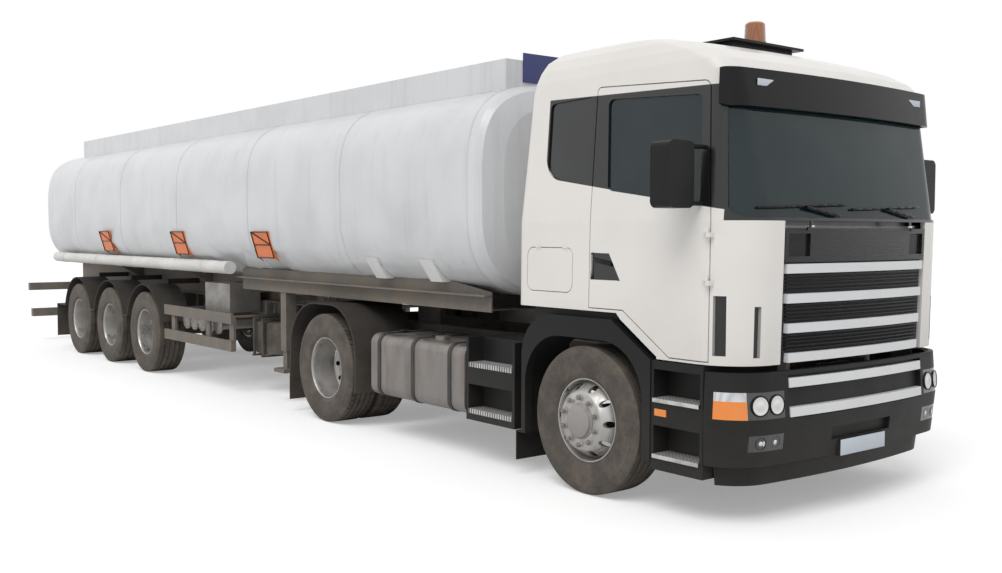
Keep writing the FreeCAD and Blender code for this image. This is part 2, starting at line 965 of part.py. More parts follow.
def knuckle():
    """Left knuckle: two ears on the king pin, a web outside the beam's eye and the wheel's spindle."""
    ear_low = tyre_radius + knuckle_boss_height / 2 + fit_gap
    ear_high = ear_low + knuckle_ear_height
    axis = V(front_axle_x, king_axis_width, 0)
    web_low = king_axis_width + knuckle_boss_radius + knuckle_web_gap
    half = knuckle_web_half_length
    pieces = []
    for low in (ear_low, 2 * tyre_radius - ear_high):
        pieces.append(rod(axis + V(0, 0, low), axis + V(0, 0, low + knuckle_ear_height),
                          knuckle_boss_radius))
        pieces.append(box(front_axle_x - knuckle_boss_radius, front_axle_x + knuckle_boss_radius,
                          king_axis_width, web_low, low, low + knuckle_ear_height))
    pieces.append(rod(axis + V(0, 0, 2 * tyre_radius - ear_high), axis + V(0, 0, ear_high),
                      knuckle_pin_radius))
    pieces.append(box(front_axle_x - half, front_axle_x + half, web_low, knuckle_face_width,
                      2 * tyre_radius - ear_high, ear_high))
    hub = V(front_axle_x, knuckle_face_width, tyre_radius)
    pieces.append(rod(hub, hub + V(0, spindle_reach, 0), spindle_radius))
    return [joined(pieces)]


def drive_axle():
    """Axle tube with its round differential, air springs on two beams, and the propeller shaft."""
    middle = V(drive_axle_x, 0, tyre_radius)
    tube_end = V(drive_axle_x, drive_spindle_face, tyre_radius)
    spindle_end = tube_end + V(0, spindle_reach, 0)
    pieces = [rod(V(drive_axle_x, -drive_spindle_face, tyre_radius), tube_end, axle_tube_radius)]
    for spindle in pair(rod(tube_end, spindle_end, spindle_radius)):
        pieces.append(spindle)
    profile = [(-diff_half_width, 0), (-diff_half_width, axle_tube_radius), (-diff_half_width / 2,
                                                                             diff_radius),
               (diff_half_width / 2, diff_radius), (diff_half_width, axle_tube_radius), (diff_half_width, 0)]
    pieces.append(turned(profile, middle, V(0, 1, 0)))
    beam_low = tyre_radius - spring_beam_height / 2
    beam_high = tyre_radius + spring_beam_height / 2
    half = spring_beam_width / 2
    place = (rail_inner_width + rail_outer_width) / 2
    reach = air_spring_spread + half
    for beam in pair(box(drive_axle_x - reach, drive_axle_x + reach, place - half, place + half, beam_low,
                         beam_high)):
        pieces.append(beam)
    for end in (-air_spring_spread, air_spring_spread):
        foot = V(drive_axle_x + end, place, beam_high)
        pieces += pair(rod(foot, V(foot.x, foot.y, rail_bottom), air_spring_radius))
    shaft_end = V(front_axle_x - engine_rear_reach + cut_over, 0, shaft_end_height)
    shaft = rod(middle, shaft_end, shaft_radius)
    behind = box(drive_axle_x, front_axle_x - engine_rear_reach, -shaft_radius * 2, shaft_radius * 2, 0,
                 rail_top)
    pieces.append(shaft.common(behind))
    return [joined(pieces)]


def engine_block():
    """The engine as one plain block between the rails, on four feet."""
    low_x = front_axle_x - engine_rear_reach
    high_x = front_axle_x + engine_front_reach
    block = box(low_x, high_x, -engine_half_width, engine_half_width, engine_bottom, engine_top)
    feet = []
    foot_low = rail_bottom + rail_wall
    for x in (low_x + engine_foot_length, high_x - engine_foot_length * 2):
        feet += pair(box(x, x + engine_foot_length, engine_half_width, rail_outer_width - rail_wall,
                         foot_low,
                         foot_low + engine_foot_height))
    return [joined([block] + feet)]


def fifth_wheel():
    """A round plate slotted from the rear for the king pin, on two pedestals over the rails."""
    centre = V(king_pin_x, 0, coupling_height - plate_wall)
    plate = rod(centre, centre + V(0, 0, plate_wall), plate_radius)
    tail_x = king_pin_x - plate_tail_reach
    tail = box(tail_x, king_pin_x, -plate_radius * tail_width_share, plate_radius * tail_width_share,
               coupling_height - plate_wall, coupling_height)
    plate = joined([plate, tail])
    half = plate_slot_width / 2
    slot = [(king_pin_x - plate_slot_width, -half), (king_pin_x - plate_slot_width, half),
            (tail_x - cut_over, half * slot_flare_share), (tail_x - cut_over, -half * slot_flare_share)]
    low = coupling_height - plate_wall - cut_over
    high = coupling_height + cut_over
    plate = plate.cut(prism("xy", slot, low, high))
    pin = V(king_pin_x, 0, low)
    plate = plate.cut(rod(pin, V(king_pin_x, 0, high), king_pin_radius + fit_gap))
    reach = pedestal_half_length
    pedestals = pair(box(king_pin_x - reach, king_pin_x + reach, rail_inner_width,
                         rail_inner_width + pedestal_wall,
                         rail_top, coupling_height - plate_wall))
    return [joined([plate] + pedestals)]


# Tanks and boxes beside the rails


def fuel_tank_outline(grow):
    return [(fuel_inner_width - grow, fuel_bottom - grow, fuel_corner + grow),
            (fuel_outer_width + grow, fuel_bottom - grow, fuel_corner + grow),
            (fuel_outer_width + grow, fuel_top + grow, fuel_corner + grow),
            (fuel_inner_width - grow, fuel_top + grow, fuel_corner + grow)]


def fuel_tanks():
    """A tank with rounded edges on each side, its filler cap on top."""
    front = front_axle_x - fuel_front_reach
    rear = front - fuel_length
    tank = prism("yz", fuel_tank_outline(0), rear, front)
    cap_x = rear + fuel_cap_share * fuel_length
    foot = V(cap_x, fuel_outer_width - fuel_cap_inset, fuel_top)
    cap = rod(foot, foot + V(0, 0, fuel_cap_height), fuel_cap_radius)
    return pair(joined([tank, cap]))


def tank_straps():
    """Bands round each fuel tank, each held by an arm on the rail."""
    rear = front_axle_x - fuel_front_reach - fuel_length
    straps = []
    for share in strap_shares:
        x = rear + share * fuel_length
        band = prism("yz", fuel_tank_outline(strap_wall), x, x + strap_width)
        band = band.cut(prism("yz", fuel_tank_outline(0), x - cut_over, x + strap_width + cut_over))
        arm = box(x, x + strap_width, rail_outer_width, fuel_inner_width - strap_wall / 2, rail_bottom,
                  rail_bottom + strap_arm_height)
        straps += pair(joined([band, arm]))
    return straps


def side_box(with_steps):
    front = front_axle_x - box_front_reach
    rear = front_axle_x - fuel_front_reach + box_gap
    body = box(rear, front, box_inner_width, box_outer_width, box_bottom, box_top)
    slope = [(box_outer_width + cut_over, tread_tops[0] + tread_recess_height),
             (box_outer_width + cut_over, box_top + cut_over),
             (box_outer_width - tread_depth, box_top + cut_over)]
    body = body.cut(prism("yz", slope, rear - cut_over, front + cut_over))
    if with_steps:
        for top in tread_tops:
            body = body.cut(box(rear + box_wall, front - box_wall, box_outer_width - tread_depth,
                                box_outer_width + cut_over, top - tread_wall, top + tread_recess_height))
    arm = box(rear + box_wall, front - box_wall, rail_outer_width, box_inner_width, rail_bottom,
              rail_bottom + strap_arm_height)
    return joined([body, arm])


def side_boxes():
    """A step box on the right and a plain silencer box on the left."""
    return [other_side(side_box(True)), side_box(False)]


def step_treads():
    """Light treads of the side box and of both entries."""
    front = front_axle_x - box_front_reach
    rear = front_axle_x - fuel_front_reach + box_gap
    treads = []
    for top in tread_tops:
        treads.append(other_side(box(rear + box_wall, front - box_wall, box_outer_width - tread_depth,
                                     box_outer_width, top - tread_wall, top)))
    for top in entry_tread_tops:
        treads += pair(box(front_axle_x + entry_rear_reach + entry_wall,
                           front_axle_x + entry_front_reach - entry_wall,
                           entry_outer_width - tread_depth, entry_outer_width + entry_tread_lip,
                           top - entry_tread_wall, top))
    return treads


def rear_mudguards():
    """A rounded guard over each pair of drive wheels with a flap behind, on arms from the rail."""
    low = guard_bottom - guard_open_drop
    points = [(drive_axle_x + guard_front_reach, low),
              (drive_axle_x + guard_front_reach, guard_top, guard_front_corner),
              (drive_axle_x - guard_rear_reach, guard_top, guard_rear_corner),
              (drive_axle_x - guard_foot_reach, low)]
    whole = prism("xz", points, guard_inner_width, guard_outer_width)
    inner = moved_edges(points, guard_wall)
    guard = whole.cut(prism("xz", inner, guard_inner_width - cut_over, guard_outer_width + cut_over))
    guard = guard.common(box(drive_axle_x - guard_foot_reach, drive_axle_x + guard_front_reach,
                             guard_inner_width, guard_outer_width, guard_bottom, guard_top))
    flap_x = drive_axle_x - guard_flap_reach
    flap = box(flap_x, flap_x + flap_wall, guard_outer_width - flap_half_width * 2, guard_outer_width,
               flap_bottom, guard_bottom + cut_over)
    arm = box(drive_axle_x - guard_arm_length / 2, drive_axle_x + guard_arm_length / 2, rail_inner_width,
              guard_inner_width + guard_arm_length, guard_top - guard_wall, guard_top)
    post = box(drive_axle_x - guard_arm_length / 2, drive_axle_x + guard_arm_length / 2, rail_inner_width,
               rail_outer_width, rail_top, guard_top)
    return pair(joined([guard, flap, arm, post]))


# Front bumper, lamps and lower grille


def plan_ring(height, half_width, back, front, corner_radius, rear_radius):
    """A closed outline seen from above: square back, rounded front corners and a gently bowed front."""
    bow = math.radians(cab_bow_angle)
    face_half = half_width - corner_radius + corner_radius * math.sin(bow)
    sag = face_half * math.tan(bow / 2)
    face_x = front - sag
    corner_x = face_x - corner_radius * math.cos(bow)
    corner_y = half_width - corner_radius
    middle = (math.pi / 2 + bow) / 2
    turn = V(corner_radius * math.cos(middle), corner_radius * math.sin(middle), 0)
    rear_turn = rear_radius * (1 - math.sin(math.pi / 4))
    a = V(back, half_width - rear_radius, height)
    b = V(back + rear_radius, half_width, height)
    c = V(corner_x, half_width, height)
    d = V(face_x, face_half, height)

    def flip(p):
        return V(p.x, -p.y, p.z)

    rear_middle = V(back + rear_turn, half_width - rear_turn, height)
    corner_middle = V(corner_x, corner_y, height) + turn
    edges = [Part.LineSegment(flip(a), a), Part.Arc(a, rear_middle, b), Part.LineSegment(b, c),
             Part.Arc(c, corner_middle, d), Part.Arc(d, V(front, 0, height), flip(d)),
             Part.Arc(flip(d), flip(corner_middle), flip(c)), Part.LineSegment(flip(c), flip(b)),
             Part.Arc(flip(b), flip(rear_middle), flip(a))]
    return Part.Wire([edge.toShape() for edge in edges])


def bumper_volume(inset):
    """The bumper's outer form, pulled in all round by an inset."""
    rows = [(dam_bottom, bumper_half_width - dam_inset, bumper_low_front - dam_inset),
            (dam_top, bumper_half_width - dam_step_inset, bumper_low_front - dam_step_inset),
            (bumper_low_height, bumper_half_width, bumper_low_front),
            (bumper_mid_height, bumper_half_width, bumper_face_reach),
            (bumper_top, bumper_top_half_width, bumper_top_front)]
    rings = [plan_ring(height, half - inset, front_axle_x + dam_back_reach, front_axle_x + front - inset,
                       bumper_corner_radius - inset, cab_rear_radius) for height, half, front in rows]
    return Part.makeLoft(rings, True, True)


def whole_front(low, high, back_reach):
    wide = bumper_half_width + cut_over
    return box(front_axle_x + back_reach, front_axle_x + front_overhang + cut_over, -wide, wide, low, high)


def lamp_zone(inner, outer, low, high):
    return box(front_axle_x + bumper_back_reach + lamp_margin, front_axle_x + front_overhang + cut_over,
               inner, outer, low, high)


def front_bumper():
    """Bumper shell that wraps both corners, with air dam, lamp openings, towing recess and plate."""
    shell = bumper_volume(0).cut(bumper_volume(bumper_wall))
    shell = shell.common(whole_front(dam_bottom, bumper_top, bumper_back_reach))
    wide = bumper_half_width + cut_over
    cuts = pair(lamp_zone(lamp_inner_width, wide, lamp_low, lamp_high))
    cuts += pair(lamp_zone(fog_inner_width, fog_outer_width, fog_low, fog_high))
    cuts.append(box(front_axle_x + bumper_back_reach, front_axle_x + front_overhang + cut_over,
                    -grille_half_width, grille_half_width, grille_low, grille_high))
    cuts.append(box(front_axle_x + bumper_back_reach, front_axle_x + front_overhang + cut_over,
                    -tow_recess_half_width, tow_recess_half_width, tow_recess_low, tow_recess_high))
    for piece in cuts:
        shell = shell.cut(piece)
    backing = bumper_volume(bumper_wall).cut(bumper_volume(bumper_wall + grille_mesh_wall))
    backing = backing.common(whole_front(tow_recess_low - cut_over, grille_high + cut_over,
                                         bumper_back_reach))
    cross = box(front_axle_x + bumper_arm_reach, front_axle_x + bumper_arm_reach + bumper_wall,
                -rail_outer_width, rail_outer_width, rail_bottom, rail_top - rail_wall)
    whole = joined([shell, backing])
    holder = box(front_axle_x + number_plate_root, front_axle_x + number_plate_reach,
                 -number_plate_half_width, number_plate_half_width, number_plate_low,
                 number_plate_low + number_plate_height)
    inner_face = bumper_volume(bumper_wall + grille_mesh_wall)
    ties = pair(box(front_axle_x + bumper_arm_reach, front_axle_x + front_overhang, rail_inner_width,
                    rail_outer_width, rail_bottom, rail_bottom + rail_flange).common(inner_face))
    x = front_axle_x + tilt_reach
    pin = V(x, rail_inner_width, tilt_height)
    blocks = pair(joined([box(x - tilt_block_half_length, x + tilt_block_half_length, rail_inner_width,
                              rail_outer_width, rail_bottom, tilt_height + tilt_pin_radius * 2),
                          rod(pin, V(x, tilt_arm_outer_width, tilt_height), tilt_pin_radius)]))
    blocks = [block.common(inner_face) for block in blocks]
    return [joined([whole, cross, holder] + ties + blocks)]


def grille_bars():
    """The two silver bars of the lower grille, bowed like the bumper."""
    band = bumper_volume(-bar_proud).cut(bumper_volume(bumper_wall))
    half = grille_half_width - bar_end_inset
    bars = []
    for top in lower_bar_tops:
        bars.append(band.common(box(front_axle_x + bumper_back_reach,
                                    front_axle_x + front_overhang + cut_over,
                                    -half, half, top - lower_bar_height, top)))
    return bars


def lamps():
    """Headlamps that wrap the corners, fog lamps below them, and side markers on the entries."""
    band = bumper_volume(fit_gap).cut(bumper_volume(bumper_wall - fit_gap))
    wide = bumper_half_width + cut_over
    edge = fit_gap
    pieces = []
    for zone in ((lamp_inner_width + edge, wide, lamp_low + edge, lamp_high - edge),
                 (fog_inner_width + edge, fog_outer_width - edge, fog_low + edge, fog_high - edge)):
        low_x = front_axle_x + bumper_back_reach + lamp_margin + edge
        cell = box(low_x, front_axle_x + front_overhang + cut_over, *zone)
        pieces += pair(band.common(cell))
    x = front_axle_x + entry_rear_reach + marker_place
    pieces += pair(box(x, x + marker_length, entry_outer_width, entry_outer_width + marker_wall,
                       marker_height_place, marker_height_place + marker_height))
    return pieces


def arch_outline(grow, front_reach, rear_reach):
    """The wheel opening seen from the side, open at the bottom."""
    low = arch_bottom - cut_over
    return [(front_axle_x - rear_reach - grow, low),
            (front_axle_x - rear_reach - grow, arch_opening_top + grow, arch_corner + grow),
            (front_axle_x + front_reach + grow, arch_opening_top + grow, arch_corner + grow),
            (front_axle_x + front_reach + grow, low)]


def wheel_arches():
    """Left arch with its liner and band, joined to the entry with its two step recesses."""
    outer = [(front_axle_x - arch_rear_reach - arch_rear_band, arch_bottom),
             (front_axle_x - arch_rear_reach - arch_rear_band, arch_top, arch_outer_corner),
             (front_axle_x + arch_rise_reach - arch_band, arch_top),
             (front_axle_x + entry_rear_reach, entry_top),
             (front_axle_x + entry_rear_reach, arch_bottom)]
    band = prism("xz", outer, arch_flange_width, arch_outer_width)
    band = band.cut(prism("xz", arch_outline(0, arch_front_reach, arch_rear_reach),
                          arch_flange_width - cut_over, arch_outer_width + cut_over))
    liner = prism("xz", arch_outline(arch_wall, arch_liner_front_reach, arch_liner_rear_reach),
                  arch_inner_width, arch_flange_width)
    liner = liner.cut(prism("xz", arch_outline(0, arch_liner_front_reach, arch_liner_rear_reach),
                            arch_inner_width - cut_over, arch_flange_width + cut_over))
    crest = box(front_axle_x - arch_crest_rear_reach, front_axle_x + arch_crest_front_reach,
                arch_inner_width,
                arch_flange_width, arch_opening_top, arch_crest_top)
    crest = crest.cut(prism("xz", arch_outline(arch_wall, arch_liner_front_reach, arch_liner_rear_reach),
                            arch_inner_width - cut_over, arch_flange_width + cut_over))
    floor = box(front_axle_x - overall_length, front_axle_x + overall_length, 0, overall_length, 0,
                arch_bottom)
    entry = box(front_axle_x + entry_rear_reach, front_axle_x + entry_front_reach, entry_inner_width,
                entry_outer_width, entry_bottom, entry_top)
    for top in entry_tread_tops:
        entry = entry.cut(box(front_axle_x + entry_rear_reach + entry_wall,
                              front_axle_x + entry_front_reach - entry_wall, entry_outer_width - tread_depth,
                              entry_outer_width + cut_over, top - entry_tread_wall,
                              top + entry_recess_height))
    entry_arm = box(front_axle_x + rail_front_reach - entry_arm_length * 2,
                    front_axle_x + rail_front_reach - entry_arm_length, rail_outer_width, entry_inner_width,
                    rail_bottom, rail_bottom + strap_arm_height)
    flap_x = front_axle_x - front_flap_reach
    flap = box(flap_x, flap_x + flap_wall, arch_outer_width - flap_half_width * 2, arch_outer_width,
               front_flap_bottom, arch_bottom + flap_wall)
    flap_top = box(flap_x, front_axle_x - arch_rear_reach - arch_rear_band + flap_wall, arch_flange_width,
                   arch_outer_width, arch_bottom, arch_bottom + flap_wall)
    whole = joined([band, liner.cut(floor), crest, entry, entry_arm, flap, flap_top])
    return pair(whole)


# Cab body


def between(height, low, high, at_low, at_high):
    share = (height - low) / (high - low)
    return at_low + (at_high - at_low) * share


def cab_row(height):
    """Half width, back reach, front reach and corner radius of the cab body at a height."""
    low = (cab_low_half_width, cab_low_back, cab_low_front, cab_low_corner)
    belt = (cab_belt_half_width, cab_belt_back, cab_belt_front, cab_belt_corner)
    eave = (cab_eave_half_width, cab_eave_back, cab_eave_front, cab_eave_corner)
    if height <= cab_belt_height:
        return [between(height, cab_low_height, cab_belt_height, a, b) for a, b in zip(low, belt)]
    return [between(height, cab_belt_height, cab_eave_height, a, b) for a, b in zip(belt, eave)]


def cab_ring(height, inset, side_proud=0, front_proud=0):
    half, back, front, corner = cab_row(height)
    return plan_ring(height, half - inset + side_proud, front_axle_x - back + inset,
                     front_axle_x + front - inset + front_proud, corner - inset + side_proud,
                     max(cab_rear_radius - inset, moving_gap))


def cab_volume(inset):
    """The cab's outer form from its foot to the eaves, pulled in all round by an inset."""
    rings = [cab_ring(height, inset) for height in (cab_low_height, cab_belt_height, cab_eave_height)]
    return Part.makeLoft(rings, True, True)


def cab_slab(low, high, rear_reach, front_reach, low_width, high_width):
    return box(front_axle_x + rear_reach, front_axle_x + front_reach, low_width, high_width, low, high)


def undercut():
    """The space for the wheel arch and the chassis below the cab's rear part."""
    low = cab_low_height - cut_over
    points = [(front_axle_x - cab_low_back * 2, low), (front_axle_x + arch_foot_reach, low),
              (front_axle_x + arch_foot_reach, arch_foot_height),
              (front_axle_x + arch_rise_reach, arch_rise_height),
              (front_axle_x + arch_rise_reach - (cab_floor_height - arch_rise_height), cab_floor_height),
              (front_axle_x - cab_low_back * 2, cab_floor_height)]
    wide = cab_low_half_width + cut_over
    return prism("xz", points, -wide, wide)


def door_points():
    rows = [(door_rear_low_reach, door_sill_height), (door_sill_reach, door_sill_height),
            (door_foot_reach, door_bottom_height), (door_front_reach, door_bottom_height),
            (door_front_reach, cab_belt_height), (door_front_high_reach, door_top_front, door_front_corner),
            (door_rear_high_reach, door_top_rear, door_rear_corner), (door_rear_low_reach, cab_belt_height)]
    return [(front_axle_x + row[0],) + row[1:] for row in rows]


def moved_edges(points, distance):
    """The outline with every edge moved inwards by a distance, or outwards by a negative one."""
    area = 0
    for i, point in enumerate(points):
        area += points[i - 1][0] * point[1] - point[0] * points[i - 1][1]
    turn = 1 if area > 0 else -1
    result = []
    for i, point in enumerate(points):
        before = points[i - 1]
        after = points[(i + 1) % len(points)]
        first = V(point[0] - before[0], point[1] - before[1], 0).normalize()
        second = V(after[0] - point[0], after[1] - point[1], 0).normalize()
        first_way = V(-first.y, first.x, 0) * turn
        second_way = V(-second.y, second.x, 0) * turn
        step = (first_way + second_way) * (distance / (1 + first_way.dot(second_way)))
        place = (point[0] + step.x, point[1] + step.y)
        if len(point) > 2:
            place += (point[2] - distance * turn_share(first, second, turn),)
        result.append(place)
    return result


def turn_share(first, second, turn):
    """One at an outer corner, minus one at an inner corner."""
    return 1 if (first.x * second.y - first.y * second.x) * turn > 0 else -1


def window_points():
    rows = [(window_rear_low_reach, window_low_rear), (window_front_low_reach, window_low_front),
            (window_front_high_reach, window_top_front), (window_rear_high_reach, window_top_rear)]
    return [(front_axle_x + a, b, window_corner) for a, b in rows]


def sleeper_points():
    rows = [(-sleeper_rear_reach, sleeper_low_rear, sleeper_low_corner),
            (-sleeper_front_reach, sleeper_low_front, sleeper_front_corner),
            (-sleeper_front_reach, sleeper_top_front, sleeper_front_corner),
            (-sleeper_rear_reach, sleeper_top_rear, sleeper_top_corner)]
    return [(front_axle_x + a, b, corner) for a, b, corner in rows]


def locker_points():
    rows = [(-locker_rear_reach, locker_low), (-locker_front_reach, locker_low),
            (-locker_front_reach, locker_high), (-locker_rear_reach, locker_high)]
    return [(front_axle_x + a, b, locker_corner) for a, b in rows]


def screen_points():
    return [(-screen_low_half_width, screen_low, screen_corner), (screen_low_half_width, screen_low,
                                                                  screen_corner),
            (screen_high_half_width, screen_high, screen_corner),
            (-screen_high_half_width, screen_high, screen_corner)]


def side_prism(points):
    return prism("xz", points, 0, cab_low_half_width + cut_over)


def screen_prism(points):
    return prism("yz", points, front_axle_x + screen_back_reach, front_axle_x + cab_belt_front + cut_over)


def cab_shell():
    """Side, rear and screen walls with the floor, the bulkhead and the cowl plate below the screen."""
    outer = cab_volume(0)
    inner = cab_volume(cab_wall)
    wide = cab_low_half_width + cut_over
    shell = outer.cut(inner)
    front_zone = cab_slab(cab_low_height - cut_over, cab_belt_height, corner_front_reach,
                          cab_belt_front + cut_over, -wide, wide)
    shell = shell.cut(front_zone)
    floor = inner.common(cab_slab(cab_floor_height, cab_floor_height + floor_wall, -cab_low_back,
                                  bulkhead_reach + bulkhead_wall, -wide, wide))
    bulkhead = inner.common(cab_slab(bulkhead_low, cab_belt_height, bulkhead_reach,
                                     bulkhead_reach + bulkhead_wall, -wide, wide))
    cowl = outer.common(cab_slab(cab_belt_height, screen_low, bulkhead_reach, cab_belt_front + cut_over,
                                 -wide, wide))
    shell = joined([shell, floor, bulkhead, cowl]).cut(undercut())
    rebate = outer.cut(cab_volume(skin_wall + moving_gap))
    cuts = []
    door = door_points()
    cuts += pair(rebate.common(side_prism(moved_edges(door, -moving_gap))))
    cuts += pair(side_prism(moved_edges(door, frame_step_inset)).cut(
        cab_slab(cab_low_height, cab_eave_height, -cab_low_back, cab_belt_front, 0, door_cut_inner_width)))
    locker = locker_points()
    cuts += pair(rebate.common(side_prism(moved_edges(locker, -locker_gap))))
    side_wall_only = cab_slab(cab_low_height, cab_eave_height, -cab_low_back, cab_belt_front, 0,
                              door_cut_inner_width)
    cuts += pair(side_prism(moved_edges(locker, locker_step)).cut(side_wall_only))
    cuts += pair(side_prism(sleeper_points()).cut(side_wall_only))
    cuts.append(screen_prism(screen_points()))
    for piece in cuts:
        shell = shell.cut(piece)
    lugs = pair(lid_shell_lug())
    for x in locker_eye_places():
        lugs += pair(locker_shell_eye(x))
    return [joined([shell] + lugs + pair(tilt_arm()))]


def locker_eye_places():
    length = locker_rear_reach - locker_front_reach
    return [front_axle_x - locker_rear_reach + share * length for share in locker_eye_shares]


def locker_rod(start, length, radius):
    foot = V(start, locker_hinge_width, locker_hinge_height)
    return rod(foot, foot + V(length, 0, 0), radius)


def locker_shell_eye(x):
    """Fixed eye of the left hatch's hinge with its pin, on a plate from the shell."""
    eye = locker_rod(x, locker_eye_length, locker_eye_radius)
    pin = locker_rod(x, locker_eye_length * 2 + fit_gap, locker_pin_radius)
    plate = box(x, x + locker_eye_length, locker_lug_inner_width, locker_hinge_width, locker_hinge_height,
                locker_hinge_height + skin_wall)
    return joined([eye, pin, plate])


def locker_hatch_eye(x):
    """Moving eye beside the fixed one, on a leaf from the hatch."""
    start = x + locker_eye_length + fit_gap
    eye = locker_rod(start, locker_eye_length, locker_eye_radius)
    leaf = box(start, start + locker_eye_length, locker_leaf_inner_width, locker_hinge_width,
               locker_hinge_height - locker_leaf_height, locker_hinge_height)
    bore = locker_rod(start - cut_over, locker_eye_length + cut_over * 2, locker_pin_radius + fit_gap)
    return joined([eye, leaf]).cut(bore)


def tilt_arm():
    """Curved arm from the floor down to the tilt pin, bent back to pass the bumper as the cab tips."""
    pin = V(front_axle_x + tilt_reach, tilt_arm_inner_width, tilt_height)
    across = V(0, tilt_arm_outer_width - tilt_arm_inner_width, 0)
    boss = rod(pin, pin + across, tilt_boss_radius)
    rear = front_axle_x + tilt_arm_back_reach
    front = rear + tilt_arm_depth
    low = tilt_height - tilt_boss_radius / 2
    points = [(pin.x, low), (pin.x, tilt_height + tilt_boss_radius / 2), (front,
                                                                          tilt_height + tilt_arm_rise),
              (front, cab_floor_height), (rear, cab_floor_height), (rear, low + tilt_arm_rise / 2)]
    arm = joined([boss, prism("xz", points, tilt_arm_inner_width, tilt_arm_outer_width)])
    over = V(0, cut_over, 0)
    return arm.cut(rod(pin - over, pin + across + over, tilt_pin_radius + fit_gap))


def lid_hinge_rod(low_width, high_width, radius):
    return rod(V(front_axle_x + lid_hinge_reach, low_width, lid_hinge_height),
               V(front_axle_x + lid_hinge_reach, high_width, lid_hinge_height), radius)


def lid_shell_lug():
    """The lid hinge's fixed eye with its pin, hung from the cowl plate."""
    low = lid_eye_width
    high = lid_eye_width + lid_eye_length
    eye = lid_hinge_rod(low, high, lid_eye_radius)
    x = front_axle_x + lid_hinge_reach
    plate = box(x - lid_eye_radius, x, low, high, lid_hinge_height, cab_belt_height)
    pin = lid_hinge_rod(low, high + fit_gap + lid_eye_length, lid_pin_radius)
    return joined([eye, plate, pin])


def lid_lug():
    """The lid hinge's moving eye on the lid's upper edge."""
    low = lid_eye_width + lid_eye_length + fit_gap
    high = low + lid_eye_length
    x = front_axle_x + lid_hinge_reach
    eye = lid_hinge_rod(low, high, lid_eye_radius)
    plate = box(x - lid_eye_radius, x, low, high, lid_high - lid_eye_radius * 2, lid_hinge_height)
    return joined([eye, plate]).cut(lid_hinge_rod(low - cut_over, high + cut_over, lid_pin_radius + fit_gap))


def door_hinge_parts():
    """Fixed lugs with their pins, and moving lugs above them, outside the door's front edge."""
    x = front_axle_x + door_hinge_reach
    fixed = []
    moving = []
    for low in door_hinge_heights:
        high = low + door_hinge_length
        top = high + fit_gap + door_hinge_length
        axis_low = V(x, door_hinge_width, low)
        axis_top = V(x, door_hinge_width, top)
        root = box(x + door_hinge_eye_radius, x + door_hinge_eye_radius * 3, door_hinge_root,
                   door_hinge_width
                   + door_hinge_eye_radius, low, high)
        reach = box(x, x + door_hinge_eye_radius * 2, door_hinge_width - door_hinge_pin_radius,
                    door_hinge_width + door_hinge_eye_radius, low, high)
        eye = rod(axis_low, axis_low + V(0, 0, door_hinge_length), door_hinge_eye_radius)
        pin = rod(axis_low, axis_top, door_hinge_pin_radius)
        fixed.append(joined([root, reach, eye, pin]))
        start = V(x, door_hinge_width, high + fit_gap)
        bore = rod(start - V(0, 0, cut_over), axis_top + V(0, 0, cut_over), door_hinge_pin_radius + fit_gap)
        leaf = box(x - door_hinge_eye_radius * 3, x - door_hinge_eye_radius, door_hinge_root,
                   door_hinge_width
                   + door_hinge_eye_radius, start.z, top)
        arm = box(x - door_hinge_eye_radius * 2, x, door_hinge_width - door_hinge_pin_radius,
                  door_hinge_width + door_hinge_eye_radius, start.z, top)
        moving.append(joined([rod(start, axis_top, door_hinge_eye_radius), leaf, arm]).cut(bore))
    return fixed, moving


def glass_sheet():
    return cab_volume(glass_depth).cut(cab_volume(glass_depth + glass_wall))


def windscreen():
    return [glass_sheet().common(screen_prism(moved_edges(screen_points(), fit_gap)))]


def sleeper_windows():
    return pair(glass_sheet().common(side_prism(moved_edges(sleeper_points(), fit_gap))))


def door():
    """Left door: an outer skin and an inner panel set in from its edge, with the window cut through."""
    points = door_points()
    outer = cab_volume(0)
    skin = outer.cut(cab_volume(skin_wall)).common(side_prism(points))
    panel = cab_volume(skin_wall).cut(cab_volume(cab_wall)).common(
        side_prism(moved_edges(points, door_step_inset)))
    leaf = joined([skin, panel]).cut(side_prism(window_points()))
    recess = [(front_axle_x + a, b, handle_corner) for a, b in handle_points]
    handle = side_prism(recess).cut(cab_volume(handle_depth))
    body = cab_volume(0)
    lugs = [piece.cut(body) for piece in door_hinge_parts()[1]]
    return [joined([leaf.cut(handle)] + lugs)]


def door_glass():
    return [glass_sheet().common(side_prism(moved_edges(window_points(), fit_gap)))]


def mirror():
    """Left mirror: a tall rounded housing on two arms that meet the door's front frame."""
    points = [(mirror_inner_width, mirror_low, mirror_corner), (mirror_outer_width, mirror_low,
                                                                mirror_corner),
              (mirror_outer_width, mirror_high, mirror_corner), (mirror_inner_width, mirror_high,
                                                                 mirror_corner)]
    housing = prism("yz", points, front_axle_x + mirror_rear_reach, front_axle_x + mirror_front_reach)
    arms = []
    for height in mirror_arm_heights:
        start = V(front_axle_x + mirror_arm_reach, cab_eave_half_width, height)
        end = V(front_axle_x + mirror_front_reach - mirror_corner, mirror_inner_width + mirror_corner,
                height)
        arms.append(rod(start, end, mirror_arm_radius))
    return [joined([housing] + arms).cut(cab_volume(0))]


def locker_hatch():
    skin = cab_volume(0).cut(cab_volume(skin_wall)).common(side_prism(locker_points()))
    return [joined([skin] + [locker_hatch_eye(x) for x in locker_eye_places()])]


